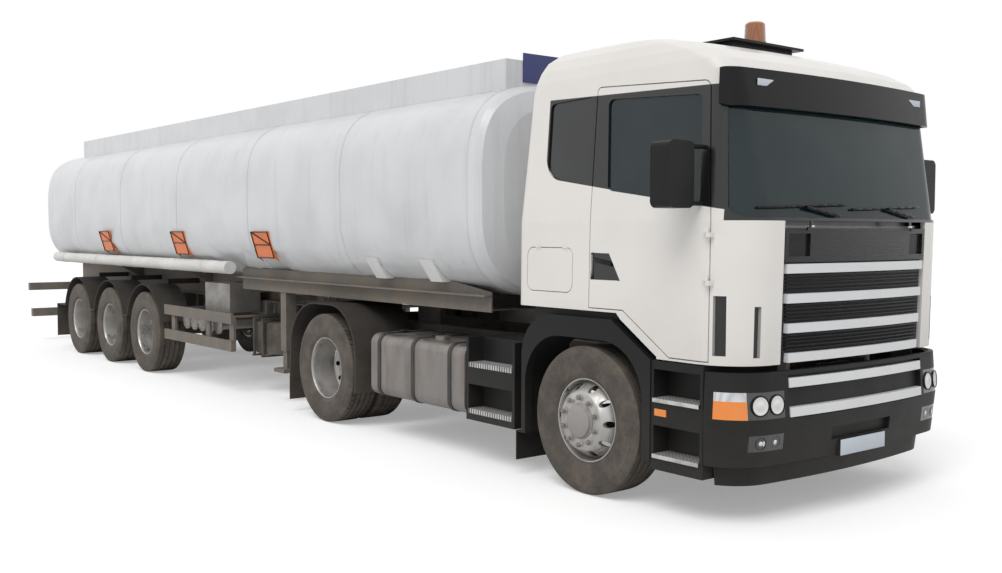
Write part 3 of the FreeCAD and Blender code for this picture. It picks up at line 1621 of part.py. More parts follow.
def corner_panels():
    """Corner panels beside the lid, each with an air slot and a duct next to the door."""
    wide = cab_low_half_width + cut_over
    panel = cab_volume(0).cut(cab_volume(corner_panel_wall))
    panel = panel.common(cab_slab(cab_low_height, cab_belt_height, corner_front_reach,
                                  cab_belt_front + cut_over, lid_half_width + corner_gap, wide))
    shallow = cab_volume(0).cut(cab_volume(skin_wall))
    slot = cab_slab(slot_low, slot_high, corner_front_reach, cab_belt_front + cut_over,
                    slot_place_width - slot_width / 2, slot_place_width + slot_width / 2)
    duct = cab_slab(duct_low, duct_high, corner_front_reach + duct_inset,
                    corner_front_reach + duct_inset + duct_length, slot_place_width, wide)
    panel = panel.cut(shallow.common(slot)).cut(shallow.common(duct))
    web = cab_volume(corner_panel_wall).common(
        cab_slab(cab_floor_height, cab_floor_height + floor_wall, bulkhead_reach + bulkhead_wall,
                 cab_belt_front, lid_half_width + corner_gap, wide))
    body = cab_volume(0)
    lugs = [piece.cut(body) for piece in door_hinge_parts()[0]]
    return pair(joined([panel, web] + lugs))


def front_lid():
    """The lid between the corner panels: a plate for the mesh with the raised upper panel on it."""
    zone = cab_slab(lid_low, lid_high, bulkhead_reach, cab_belt_front + cut_over, -lid_half_width,
                    lid_half_width)
    plate = cab_volume(lid_mesh_depth).cut(cab_volume(lid_wall)).common(zone)
    top = cab_slab(lid_panel_low, lid_high, bulkhead_reach, cab_belt_front + cut_over, -lid_half_width,
                   lid_half_width)
    panel = cab_volume(0).cut(cab_volume(lid_mesh_depth)).common(top)
    grabs = pair(cab_volume(0).cut(cab_volume(skin_wall)).common(
        cab_slab(grab_low, grab_high, bulkhead_reach, cab_belt_front + cut_over, grab_inner_width,
                 grab_outer_width)))
    for grab in grabs:
        panel = panel.cut(grab)
    return [joined([plate, panel] + pair(lid_lug()))]


def lid_bars():
    band = cab_volume(-bar_proud).cut(cab_volume(lid_mesh_depth))
    bars = []
    for top in bar_tops:
        half = between(top, lid_low, lid_high, bar_low_half_width, lid_half_width - bar_end_inset)
        bars.append(band.common(cab_slab(top - bar_height, top, bulkhead_reach,
                                         cab_belt_front + cut_over, -half, half)))
    return bars


def roof_rows(inset):
    rows = [(cab_eave_height, cab_eave_half_width, cab_eave_back, cab_eave_front, cab_eave_corner,
             cab_rear_radius)]
    rows += list(zip(roof_heights, roof_half_widths, roof_backs, roof_fronts, roof_corner_radii,
                     roof_rear_radii))
    crown = roof_heights[-1]
    squash_share = (crown - inset - cab_eave_height) / (crown - cab_eave_height)
    result = []
    for height, half, back, front, corner, rear in rows:
        level = cab_eave_height + (height - cab_eave_height) * squash_share
        result.append((level, half - inset, back - inset, front - inset, corner - inset,
                       max(rear - inset, moving_gap)))
    return result


def roof_volume(inset):
    rings = []
    for height, half, back, front, corner, rear in roof_rows(inset):
        rings.append(plan_ring(height, half, front_axle_x - back, front_axle_x + front, corner, rear))
    return Part.makeLoft(rings, True, True)


def cab_roof():
    return [roof_volume(0).cut(roof_volume(cab_wall))]


def visor_volume(inset):
    rings = [cab_ring(visor_low, inset, visor_side_proud, visor_front_proud)]
    half, back, front, corner = cab_row(cab_eave_height)
    rings.append(plan_ring(visor_high, half - inset + visor_high_side_proud, front_axle_x - back + inset,
                           front_axle_x + front - inset + visor_high_front_proud,
                           corner - inset + visor_high_side_proud, max(cab_rear_radius - inset, moving_gap)))
    return Part.makeLoft(rings, True, True)


def sun_visor():
    """A bent sheet round the head of the windscreen, meeting the cab at its upper ends."""
    half = visor_half_width
    points = [(-half, visor_low, visor_low_corner), (half, visor_low, visor_low_corner),
              (half, visor_high, visor_high_corner), (-half, visor_high, visor_high_corner)]
    sheet = visor_volume(0).cut(visor_volume(visor_wall)).common(
        prism("yz", points, front_axle_x + visor_back_reach, front_axle_x + overall_length))
    brackets = []
    for width in visor_bracket_widths:
        block = cab_slab(visor_high - visor_bracket_height, visor_high - visor_bracket_drop,
                         visor_back_reach,
                         cab_belt_front, width, width + visor_bracket_length)
        brackets += pair(block.common(visor_volume(visor_wall)))
    whole = joined([sheet] + brackets)
    return [whole.cut(cab_volume(0)).cut(roof_volume(0))]


def roof_fittings():
    """The hatch plate on its frame, with the beacon's foot beside it."""
    low = cab_eave_height
    plate = box(front_axle_x + hatch_rear_reach, front_axle_x + hatch_front_reach, -hatch_half_width,
                hatch_half_width, hatch_top - hatch_wall, hatch_top)
    base = box(front_axle_x + hatch_rear_reach + hatch_base_inset, front_axle_x + hatch_front_reach
               - hatch_base_inset, -hatch_half_width + hatch_base_inset,
               hatch_half_width - hatch_base_inset, low,
               hatch_top - hatch_wall)
    return [joined([plate, base]).cut(roof_volume(0))]


def beacon():
    foot = V(front_axle_x + beacon_reach, 0, 0)
    profile = [(hatch_top, 0), (hatch_top, beacon_base_radius),
               (hatch_top + beacon_base_height, beacon_base_radius),
               (hatch_top + beacon_base_height, beacon_low_radius), (beacon_top - beacon_crown,
                                                                     beacon_high_radius),
               (beacon_top, beacon_high_radius - beacon_crown), (beacon_top, 0)]
    return [turned(profile, foot, V(0, 0, 1))]


# Cab interior


def dashboard():
    """Dashboard in front of the bulkhead, with the steering wheel and its column."""
    rear = front_axle_x + bulkhead_reach - dash_depth
    front = front_axle_x + bulkhead_reach
    points = [(rear + dash_slope, dash_bottom), (front, dash_bottom), (front, dash_top),
              (rear + dash_slope, dash_top),
              (rear, dash_top - dash_slope)]
    panel = prism("xz", points, -dash_half_width, dash_half_width)
    centre = V(front_axle_x + wheel_reach, wheel_place_width, wheel_height)
    tilt = math.radians(wheel_tilt)
    way = V(-math.sin(tilt), 0, math.cos(tilt))
    ring = Part.makeTorus(wheel_radius, wheel_rim_radius, centre, way)
    column = rod(centre - way * column_length, centre, column_radius)
    spoke = box(centre.x - wheel_rim_radius, centre.x + wheel_rim_radius, centre.y - wheel_radius,
                centre.y + wheel_radius, centre.z - wheel_rim_radius, centre.z + wheel_rim_radius)
    return [joined([panel, ring, column, spoke])]


def seats():
    """Two seats on their pedestals and the bunk along the rear wall."""
    low = cab_floor_height + floor_wall
    rear = front_axle_x + seat_rear_reach
    front = rear + seat_length
    pedestal = box(rear + seat_back_wall, front - seat_back_wall, seat_place_width - seat_base_half_width,
                   seat_place_width + seat_base_half_width, low, seat_top - seat_cushion)
    cushion = box(rear, front, seat_place_width - seat_half_width, seat_place_width + seat_half_width,
                  seat_top - seat_cushion, seat_top)
    back = box(rear, rear + seat_back_wall, seat_place_width - seat_half_width,
               seat_place_width + seat_half_width, seat_top, seat_back_top)
    bunk_rear = front_axle_x - cab_belt_back + cab_wall + bunk_rear_clear
    bunk = box(bunk_rear, bunk_rear + bunk_length, -bunk_half_width, bunk_half_width, low, bunk_top)
    return pair(joined([pedestal, cushion, back])) + [bunk]


# Tank


def tank_wire(x, scale):
    """The tank's rounded section, flatter above than below, scaled about its middle height."""
    places = []
    for i in range(tank_point_count):
        angle = math.radians(full_turn * i / tank_point_count)
        high = math.sin(angle) >= 0
        power = tank_upper_power if high else tank_lower_power
        rise = tank_upper_rise if high else tank_lower_drop
        across = math.copysign(abs(math.cos(angle)) ** (2 / power), math.cos(angle))
        up = math.copysign(abs(math.sin(angle)) ** (2 / power), math.sin(angle))
        places.append(V(x, tank_half_width * scale * across, tank_mid_height + rise * scale * up))
    curve = Part.BSplineCurve()
    curve.interpolate(Points=places, PeriodicFlag=True)
    return Part.Wire([curve.toShape()])


def tank_body(grow=0, tail=0):
    """The straight part of the tank, its flanks set out by grow and its rear end drawn out by tail."""
    front = king_pin_x + tank_front_lead
    scale = 1 + grow / tank_half_width
    face = Part.Face(tank_wire(front - tank_length - tail, scale))
    return face.extrude(V(tank_length + tail, 0, 0))


def tank_clearance():
    return tank_body(tank_fit)


def tank_shell():
    front = king_pin_x + tank_front_lead
    rear = front - tank_length
    ends = []
    for place, way in ((front, 1), (rear, -1)):
        wires = [tank_wire(place + way * reach * tank_dish, scale)
                 for reach, scale in zip(dish_reach_shares, dish_scale_shares)]
        ends.append(Part.makeLoft(wires, True, True))
    return [joined([tank_body()] + ends)]


def tank_coaming():
    """A wall round the top of the tank, with the bolted manhole covers inside it."""
    front = king_pin_x + coaming_front_lead
    rear = king_pin_x - coaming_rear_reach
    wall = box(rear, front, -coaming_half_width, coaming_half_width, coaming_bottom, coaming_top)
    wall = wall.cut(box(rear + coaming_wall, front - coaming_wall, -coaming_half_width + coaming_wall,
                        coaming_half_width - coaming_wall, coaming_bottom - cut_over,
                        coaming_top + cut_over))
    pieces = [wall]
    top = tank_mid_height + tank_upper_rise
    for i in range(manhole_count):
        x = king_pin_x + manhole_first_lead - i * manhole_spacing
        foot = V(x, 0, coaming_bottom)
        neck = rod(foot, V(x, 0, top + manhole_height), manhole_radius)
        lid_foot = V(x, 0, top + manhole_height)
        pieces.append(joined([neck, rod(lid_foot, lid_foot + V(0, 0, manhole_lid_height),
                                        manhole_lid_radius)]))
    body = tank_clearance()
    return [piece.cut(body) for piece in pieces]


def tank_brackets():
    """Box brackets low on both flanks, under the forward part of the tank."""
    body = tank_clearance()
    brackets = []
    for lead in bracket_leads:
        x = king_pin_x + lead
        points = [(ledge_width, bracket_low), (bracket_low_width, bracket_low),
                  (bracket_high_width, bracket_high), (ledge_width, bracket_high)]
        brackets += pair(prism("yz", points, x - bracket_length / 2, x + bracket_length / 2).cut(body))
    return brackets


def sign_boards():
    """The name board before the coaming and the placards on their gussets, all blank."""
    front = king_pin_x + coaming_front_lead
    boards = [box(front, front + board_wall, -board_half_width, board_half_width, board_low, board_high)]
    tilt = math.radians(placard_tilt)
    lean = V(0, math.sin(tilt), math.cos(tilt))
    body = tank_clearance()
    for reach in placard_reaches:
        rear = king_pin_x - reach - placard_length
        low = (placard_low_width, placard_low)
        high = (low[0] + lean.y * placard_height, low[1] + lean.z * placard_height)
        sheet = [low, high, (high[0] - placard_wall, high[1]), (low[0] - placard_wall, low[1])]
        pieces = [prism("yz", sheet, rear, rear + placard_length)]
        web = [(low[0] - placard_wall / 2, low[1]), (high[0] - placard_wall / 2, high[1]),
               (high[0] - gusset_depth, high[1]), (low[0] - gusset_depth, low[1] - gusset_drop)]
        for x in (rear, rear + placard_length - placard_frame_wall):
            pieces.append(prism("yz", web, x, x + placard_frame_wall))
        boards += [board.cut(body) for board in pair(joined(pieces))]
    return boards


# Trailer frame and its gear


def trailer_frame():
    """Skid plate with the king pin, ledges under the tank and the two rear beams with cross members."""
    skid_low = coupling_height + fit_gap
    skid_top = skid_low + skid_wall
    front = king_pin_x + ledge_front_lead
    neck_rear = king_pin_x - ledge_rear_reach
    pieces = [box(king_pin_x - skid_rear_reach, king_pin_x + skid_front_lead, -ledge_width, ledge_width,
                  skid_low,
                  skid_top)]
    pieces.append(rod(V(king_pin_x, 0, skid_low - king_pin_length), V(king_pin_x, 0, skid_top),
                      king_pin_radius))
    side = [(neck_rear, skid_low), (front, skid_low), (front, ledge_nose_high),
            (front - ledge_nose_length, ledge_high), (neck_rear, ledge_high)]
    ledge = prism("xz", side, ledge_width - ledge_wall, ledge_width)
    lip = box(neck_rear, front, ledge_width - ledge_wall, ledge_width + ledge_flange, ledge_lip_low,
              ledge_lip_low + ledge_wall)
    pieces += pair(ledge) + pair(lip)
    beam_rear = beam_rear_inset - overall_length / 2
    beam_front = king_pin_x - beam_front_reach
    inner = beam_half_gap
    channel = [(inner + beam_flange, beam_bottom), (inner + beam_flange, beam_bottom + beam_wall),
               (inner + beam_wall, beam_bottom + beam_wall), (inner + beam_wall, beam_top - beam_wall),
               (inner + beam_flange, beam_top - beam_wall), (inner + beam_flange, beam_top), (inner,
                                                                                              beam_top),
               (inner, beam_bottom)]
    pieces += pair(prism("yz", channel, beam_rear, beam_front))
    neck_front = front - neck_front_inset
    pieces += pair(box(beam_front - cut_over, neck_front, inner, inner + beam_wall, skid_top, beam_top))
    step = (neck_front - neck_rear - neck_wall) / (neck_plate_count - 1)
    for i in range(neck_plate_count):
        x = neck_rear + i * step
        pieces.append(box(x, x + neck_wall, -ledge_width, ledge_width, skid_top, ledge_high))
    for share in trailer_cross_shares:
        x = beam_rear + share * (neck_rear - beam_rear)
        pieces.append(box(x, x + trailer_cross_wall, -inner - beam_wall, inner + beam_wall,
                          trailer_cross_low,
                          trailer_cross_low + trailer_cross_height))
    for reach in saddle_reaches:
        x = king_pin_x - reach
        points = [(-saddle_half_width, saddle_high), (-inner, beam_bottom + beam_flange),
                  (inner, beam_bottom + beam_flange), (saddle_half_width, saddle_high)]
        pieces.append(prism("yz", points, x - saddle_length, x))
    return [joined(pieces).cut(tank_body(tank_fit, tank_dish))]


def landing_legs():
    x = king_pin_x - leg_reach
    outer = box(x - leg_half, x + leg_half, leg_width - leg_half * 2, leg_width, leg_outer_bottom,
                ledge_lip_low)
    middle = leg_width - leg_half
    inner = box(x - leg_inner_half, x + leg_inner_half, middle - leg_inner_half, middle + leg_inner_half,
                leg_bottom + leg_foot_height, leg_outer_bottom + leg_foot_height)
    foot = box(x - leg_foot_half, x + leg_foot_half, middle - leg_foot_half, middle + leg_foot_half,
               leg_bottom,
               leg_bottom + leg_foot_height)
    shaft = rod(V(x, -middle, leg_shaft_height), V(x, middle, leg_shaft_height), leg_shaft_radius)
    brace = box(x - leg_half / 2, x + leg_half / 2, beam_half_gap + beam_flange, middle, leg_brace_height,
                leg_brace_height + leg_half)
    return [joined(pair(joined([outer, inner, foot, brace])) + [shaft])]


def trailer_axles():
    """Three axle tubes with spindles, trailing arms on hangers, and air springs under the beams."""
    pieces = []
    for x in trailer_axle_xs:
        end = V(x, trailer_spindle_face, tyre_radius)
        tube = rod(V(x, -trailer_spindle_face, tyre_radius), end, trailer_tube_radius)
        spindles = pair(rod(end, end + V(0, spindle_reach, 0), spindle_radius))
        low = beam_half_gap + arm_side_clear
        high = low + trail_arm_width
        points = [(x - trail_arm_reach, tyre_radius), (x, tyre_radius - trail_arm_height / 2),
                  (x + trail_arm_reach, hanger_pin_height - trail_arm_height / 2),
                  (x + trail_arm_reach, hanger_pin_height + trail_arm_height / 2),
                  (x, tyre_radius + trail_arm_height / 2), (x - trail_arm_reach,
                                                            tyre_radius + trail_arm_height)]
        arm = prism("xz", points, low, high)
        hanger = box(x + trail_arm_reach - hanger_wall, x + trail_arm_reach, low, high, hanger_pin_height,
                     beam_bottom)
        foot = V(x - bellows_reach, (low + high) / 2, tyre_radius + trail_arm_height / 2)
        bellows = rod(foot, V(foot.x, foot.y, beam_bottom), bellows_radius)
        pieces.append(joined([tube] + spindles + pair(joined([arm, hanger, bellows]))))
    return pieces


def trailer_mudguards():
    """An arched cover over each wheel, joined low down, with stays to the beams and a rear flap."""
    outer = cover_inner_radius + cover_wall
    pieces = []
    for x in trailer_axle_xs:
        start = V(x, cover_inner_width, tyre_radius)
        end = V(x, cover_outer_width, tyre_radius)
        ring = rod(start, end, outer).cut(rod(start - V(0, cut_over, 0), end + V(0, cut_over, 0),
                                              cover_inner_radius))
        ring = ring.common(box(x - outer, x + outer, cover_inner_width, cover_outer_width, cover_bottom,
                               tyre_radius + outer))
        stay = box(x - cover_arm_height / 2, x + cover_arm_height / 2, beam_half_gap + beam_wall,
                   cover_inner_width + cover_arm_overlap, tyre_radius + outer - cover_wall / 2,
                   tyre_radius + outer + cover_arm_height)
        pieces += [ring, stay]
    reach = math.sqrt(outer ** 2 - (tyre_radius - cover_bottom) ** 2)
    for front, rear in zip(trailer_axle_xs, trailer_axle_xs[1:]):
        pieces.append(box(rear + reach - cover_wall, front - reach + cover_wall, cover_inner_width,
                          cover_outer_width, cover_bottom, cover_bottom + cover_wall))
    last = trailer_axle_xs[-1] - reach
    flap_x = trailer_axle_xs[-1] - trailer_flap_reach
    pieces.append(box(flap_x, last + cover_wall, cover_inner_width, cover_outer_width, cover_bottom,
                      cover_bottom + cover_wall))
    pieces.append(box(flap_x, flap_x + flap_wall, cover_outer_width - trailer_flap_width, cover_outer_width,
                      trailer_flap_bottom, cover_bottom + cover_wall))
    return pair(joined(pieces))


def hose_tubes():
    """A long tube on each flank, in rings carried by plates from the tank."""
    front = king_pin_x - tube_front_reach
    rear = king_pin_x - tube_rear_reach
    tube = rod(V(rear, tube_width, tube_height), V(front, tube_width, tube_height), tube_radius)
    pieces = [tube]
    body = tank_clearance()
    for reach in tube_ring_reaches:
        x = king_pin_x - reach
        pieces.append(rod(V(x - tube_ring_length, tube_width, tube_height), V(x, tube_width, tube_height),
                          tube_ring_radius))
        points = [(tube_width, tube_height), (tube_width - tube_arm_spread, tube_height),
                  (tube_width - tube_arm_reach, tube_height + tube_arm_rise),
                  (tube_width - tube_arm_reach + tube_arm_spread, tube_height + tube_arm_rise)]
        pieces.append(prism("yz", points, x - tube_ring_length / 2, x - tube_ring_length / 2 + tube_arm_wall)
                      .cut(body))
    return pair(joined(pieces))


def side_guards():
    """Two rails on each side between the landing leg and the wheels, on posts from the beams."""
    front = king_pin_x - rail_guard_front_reach
    rear = king_pin_x - rail_guard_rear_reach
    outer = rail_guard_width
    inner = outer - rail_guard_wall
    pieces = []
    for top, height in zip(rail_guard_tops, rail_guard_heights):
        pieces.append(box(rear, front, inner, outer, top - height, top))
    low = rail_guard_tops[1] - rail_guard_heights[1]
    for share in rail_guard_post_shares:
        x = front - share * (front - rear) - rail_guard_post
        pieces.append(box(x, x + rail_guard_post, inner - rail_guard_wall, inner, low, guard_stay_high))
        pieces.append(box(x, x + rail_guard_wall, beam_half_gap + beam_wall, inner, guard_stay_low,
                          guard_stay_high))
        pieces.append(box(x, x + rail_guard_wall, beam_half_gap + beam_wall, beam_half_gap + beam_flange,
                          guard_stay_low, beam_bottom))
    return pair(joined(pieces))


def valve_gear():
    """The cabinet on the right flank and the row of outlets below it, with risers to the tank."""
    front = king_pin_x - cabinet_front_reach
    cabinet = box(front - cabinet_length, front, -cabinet_outer_width, -cabinet_inner_width, cabinet_low,
                  cabinet_high)
    ties = []
    for x in (front - cabinet_length, front - rail_guard_post):
        ties.append(box(x, x + rail_guard_post, -cabinet_inner_width, -beam_half_gap - beam_wall,
                        cabinet_high - rail_guard_post, cabinet_high - beam_wall * 2))
    pieces = [joined([cabinet] + ties)]
    body = tank_clearance()
    for i in range(manifold_count):
        x = king_pin_x - manifold_first_reach - i * manifold_pitch
        inner = V(x, -riser_width, manifold_height)
        outer = V(x, -manifold_outer_width, manifold_height)
        pipe = rod(inner, outer, manifold_radius)
        riser = rod(inner, V(x, -riser_width, tank_mid_height), manifold_radius)
        ball = Part.makeSphere(manifold_radius, inner)
        flange = rod(outer, outer + V(0, outlet_flange_wall, 0), outlet_flange_radius)
        outlet = joined([pipe, riser, ball, flange])
        for j in range(outlet_bolt_count):
            angle = math.radians(full_turn * (j + 1 / 2) / outlet_bolt_count)
            hole = outer + V(outlet_bolt_circle / 2 * math.cos(angle), -cut_over,
                             outlet_bolt_circle / 2 * math.sin(angle))
            outlet = outlet.cut(rod(hole, hole + V(0, outlet_flange_wall + cut_over * 2, 0),
                                    outlet_bolt_radius))
        pieces.append(outlet.cut(body))
    return pieces


def spare_wheel():
    """A spare wheel lying flat between the side guards, hung in a cradle from the beams."""
    x = king_pin_x - spare_reach
    middle = V(x, spare_width, spare_bottom + wide_tyre_width / 2)
    tyre = tyre_at(wide_tyre_width / 2, wide_tyre_width, 0)
    rim = rim_at(wide_tyre_width / 2, wide_tyre_width, disc_wall * 2 - rim_half(wide_tyre_width),
                 -trailer_disc_offset, 1, 0)
    flat = []
    for shape in (tyre, rim):
        lying = shape.copy()
        lying.translate(V(0, 0, -tyre_radius))
        lying.rotate(V(0, 0, 0), V(1, 0, 0), full_turn / 4)
        lying.translate(middle)
        flat.append(lying)
    low = spare_bottom - spare_cradle_wall
    cradle = []
    for way in (-1, 1):
        bar_x = x + way * spare_cradle_half
        cradle.append(box(bar_x - spare_cradle_wall, bar_x + spare_cradle_wall,
                          spare_width - tyre_radius - cut_over * 2,
                          spare_width + tyre_radius + cut_over * 2, low,
                          spare_bottom - fit_gap))
        for end in (-1, 1):
            y = spare_width + end * (tyre_radius + cut_over)
            reach = beam_half_gap + beam_flange / 2
            cradle.append(box(bar_x - spare_cradle_wall, bar_x + spare_cradle_wall,
                              y - spare_cradle_wall / 2,
                              y + spare_cradle_wall / 2, low, spare_hanger_top))
            y_low, y_high = sorted((y, math.copysign(beam_half_gap, end)))
            cradle.append(box(bar_x - spare_cradle_wall, bar_x + spare_cradle_wall,
                              y_low - spare_cradle_wall / 2,
                              y_high + spare_cradle_wall, spare_hanger_top, spare_hanger_top
                              + spare_cradle_wall))
            beam_y = end * (beam_half_gap + beam_wall)
            cradle.append(box(bar_x - spare_cradle_wall, bar_x + spare_cradle_wall,
                              min(beam_y, beam_y - end * beam_wall), max(beam_y, beam_y - end * beam_wall),
                              spare_hanger_top, beam_bottom))
    return flat + [joined(cradle)]


def rear_beam():
    """The lamp bar at the tail and the underrun beam below it, each on arms from the rear beams."""
    tail = -overall_length / 2
    bar = box(tail, tail + tail_bar_wall, -tail_half_width, tail_half_width, tail_bar_low, tail_bar_high)
    pieces = [bar]
    arm_y = beam_half_gap
    end_x = beam_rear_inset - overall_length / 2
    for side in (-1, 1):
        y_low, y_high = sorted((side * arm_y, side * (arm_y + beam_wall)))
        pieces.append(box(tail, end_x + tail_arm_length, y_low, y_high, tail_bar_low, beam_bottom))
        pieces.append(box(tail + underrun_set_back, end_x, y_low, y_high, underrun_low, tail_bar_low))
    pieces.append(box(tail + underrun_set_back, tail + underrun_set_back + underrun_depth,
                      -underrun_half_width, underrun_half_width, underrun_low, underrun_high))
    return [joined(pieces)]


# Everything is written out, one file for each piece

os.makedirs("parts", exist_ok=True)

save("chassis_frame", chassis_frame())
save("front_axle", front_axle())
save("drive_axle", drive_axle())
save("engine_block", engine_block())
save("fifth_wheel", fifth_wheel())
save("fuel_tanks", fuel_tanks())
save("tank_straps", tank_straps())
save("side_boxes", side_boxes())
save("step_treads", step_treads())
save("rear_mudguards", rear_mudguards())
save("front_bumper", front_bumper())
save("bumper_bars", grille_bars())
save("lamps", lamps())
save("wheel_arches", wheel_arches())
save("cab_shell", cab_shell())
save("cab_roof", cab_roof())
save("windscreen", windscreen())
save("sleeper_windows", sleeper_windows())
save("sun_visor", sun_visor())
save("corner_panels", corner_panels())
save("roof_fittings", roof_fittings())
save("beacon", beacon())
save("dashboard", dashboard())
save("seats", seats())
save("front_lid", front_lid())
save("lid_bars", lid_bars())
save("tank_shell", tank_shell())
save("tank_coaming", tank_coaming())
save("tank_brackets", tank_brackets())
save("sign_boards", sign_boards())
save("trailer_frame", trailer_frame())
save("landing_legs", landing_legs())
save("trailer_axles", trailer_axles())
save("trailer_mudguards", trailer_mudguards())
save("hose_tubes", hose_tubes())
save("side_guards", side_guards())
save("valve_gear", valve_gear())
save("spare_wheel", spare_wheel())
save("rear_beam", rear_beam())

mirrored = [("door", door()), ("door_glass", door_glass()), ("mirror", mirror()), ("locker_hatch",
                                                                                   locker_hatch()),
            ("knuckle", knuckle()), ("front_wheel", front_wheel()), ("drive_wheel", drive_wheel())]
mirrored += [("trailer_wheel_" + str(i + 1), trailer_wheel(x)) for i, x in enumerate(trailer_axle_xs)]
for side in ("left", "right"):
    for name, pieces in mirrored:
        save(name + "_" + side, [one_side(piece, side) for piece in pieces])
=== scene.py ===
# %% [markdown]
# # A tanker truck
# The solid model of the truck comes in first. It holds every piece that has a real shape and a real
# size. What this lesson adds is what the solids leave out: paint, rubber, glass, tyre tread, wheel
# nuts, lamp bowls, louvres, wipers, door grips and soft seats. All lengths are metres, +X points
# forward, +Y to the vehicle's left and +Z up.

# %% Bring in the truck
import math

import bmesh
import bpy
from mathutils import Matrix, Vector


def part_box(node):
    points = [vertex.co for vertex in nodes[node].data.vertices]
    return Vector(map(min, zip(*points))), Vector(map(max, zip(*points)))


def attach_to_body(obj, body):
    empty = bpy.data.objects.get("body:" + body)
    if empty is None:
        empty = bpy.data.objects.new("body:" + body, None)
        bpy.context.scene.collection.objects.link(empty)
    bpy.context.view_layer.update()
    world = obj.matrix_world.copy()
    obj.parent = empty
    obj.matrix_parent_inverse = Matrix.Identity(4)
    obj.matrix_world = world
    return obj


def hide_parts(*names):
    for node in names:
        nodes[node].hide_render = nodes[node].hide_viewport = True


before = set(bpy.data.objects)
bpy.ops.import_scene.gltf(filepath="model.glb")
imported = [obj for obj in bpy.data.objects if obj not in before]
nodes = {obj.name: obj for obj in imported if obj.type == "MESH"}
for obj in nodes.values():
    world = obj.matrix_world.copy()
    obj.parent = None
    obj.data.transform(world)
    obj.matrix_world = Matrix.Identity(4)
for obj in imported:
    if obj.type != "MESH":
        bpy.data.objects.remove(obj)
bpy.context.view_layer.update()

# %% [markdown]
# ## Places along the truck
# Later pieces sit on wheels, panels and tanks, so their places are worked out from the solids. A
# wheel's box gives its axle: the middle in X. Places further on are reaches from the front axle, and
# where a surface matters, a ray is shot at it. Measuring keeps every added piece on what carries it.

# %% Axles and widths
tyre_radius = 0.530


def axle_x(node):
    """The middle of a wheel's box along X."""
    low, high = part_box(node)
    return (low[0] + high[0]) / 2


front_x = axle_x("front_wheel_right")
drive_x = axle_x("drive_wheel_right")
trailer_xs = [axle_x("trailer_wheel_%d_right" % number) for number in (1, 2, 3)]
print("axles at", round(front_x, 3), round(drive_x, 3), [round(x, 3) for x in trailer_xs])

# %% [markdown]
# ## Camera
# The picture was taken from the truck's right front corner, about as high as a tall person's eyes.
# The place and the lens were solved from wheels, lamps and panel corners whose places are known, so
# the render lies over the photograph.

# %% Camera
camera_place = Vector((front_x + 5.4961, -6.3952, 1.8608))
camera_yaw = math.radians(38.757)
camera_pitch = math.radians(2.921)
camera_roll = math.radians(0.140)
camera_lens = 38.5

camera = bpy.data.objects.new("camera", bpy.data.cameras.new("camera"))
bpy.context.scene.collection.objects.link(camera)
camera.data.lens = camera_lens
camera.data.sensor_width = 36.0
camera.data.clip_end = 200.0
way = Vector((-math.cos(camera_yaw) * math.cos(camera_pitch),
              math.sin(camera_yaw) * math.cos(camera_pitch), -math.sin(camera_pitch)))
turn = way.to_track_quat("-Z", "Y").to_matrix().to_4x4()
camera.matrix_world = (Matrix.Translation(camera_place) @ turn
                       @ Matrix.Rotation(camera_roll, 4, "Z"))
bpy.context.scene.camera = camera
print("camera at", [round(v, 3) for v in camera_place])

# %% [markdown]
# ## Node trees as sums
# A finish is a network of nodes, and most of those nodes are small sums. The class below holds one
# socket and turns Python's own + - * / into Math nodes, so that a mask reads like a formula. The
# second class holds a material and adds any other node in one call.

# %% A socket that can be added and multiplied
class Wire:
    """One output of a finish's node tree."""

    def __init__(self, finish, socket):
        self.finish = finish
        self.socket = socket

    def math(self, operation, first, second=0.0):
        return self.finish.node("ShaderNodeMath", {"operation": operation}, {0: first, 1: second})

    def __add__(self, other):
        return self.math("ADD", self, other)

    def __radd__(self, other):
        return self.math("ADD", other, self)

    def __sub__(self, other):
        return self.math("SUBTRACT", self, other)

    def __rsub__(self, other):
        return self.math("SUBTRACT", other, self)

    def __mul__(self, other):
        return self.math("MULTIPLY", self, other)

    def __rmul__(self, other):
        return self.math("MULTIPLY", other, self)

    def __truediv__(self, other):
        return self.math("DIVIDE", self, other)

    def __rtruediv__(self, other):
        return self.math("DIVIDE", other, self)

    def __pow__(self, other):
        return self.math("POWER", self, other)

    def __rpow__(self, other):
        return self.math("POWER", other, self)

    def size(self):
        return self.math("ABSOLUTE", self)

    def wave(self):
        return self.math("SINE", self)

    def repeat(self, pitch):
        """Distance from the nearest of many lines that lie a pitch apart."""
        return self.math("PINGPONG", self, pitch / 2)

    def least(self, other):
        return self.math("MINIMUM", self, other)

    def most(self, other):
        return self.math("MAXIMUM", self, other)

    def ease(self, low, high):
        """0 below low, 1 above high, and a smooth rise between them."""
        kind = {"interpolation_type": "SMOOTHSTEP"}
        return self.finish.node("ShaderNodeMapRange", kind, {0: self, 1: low, 2: high})


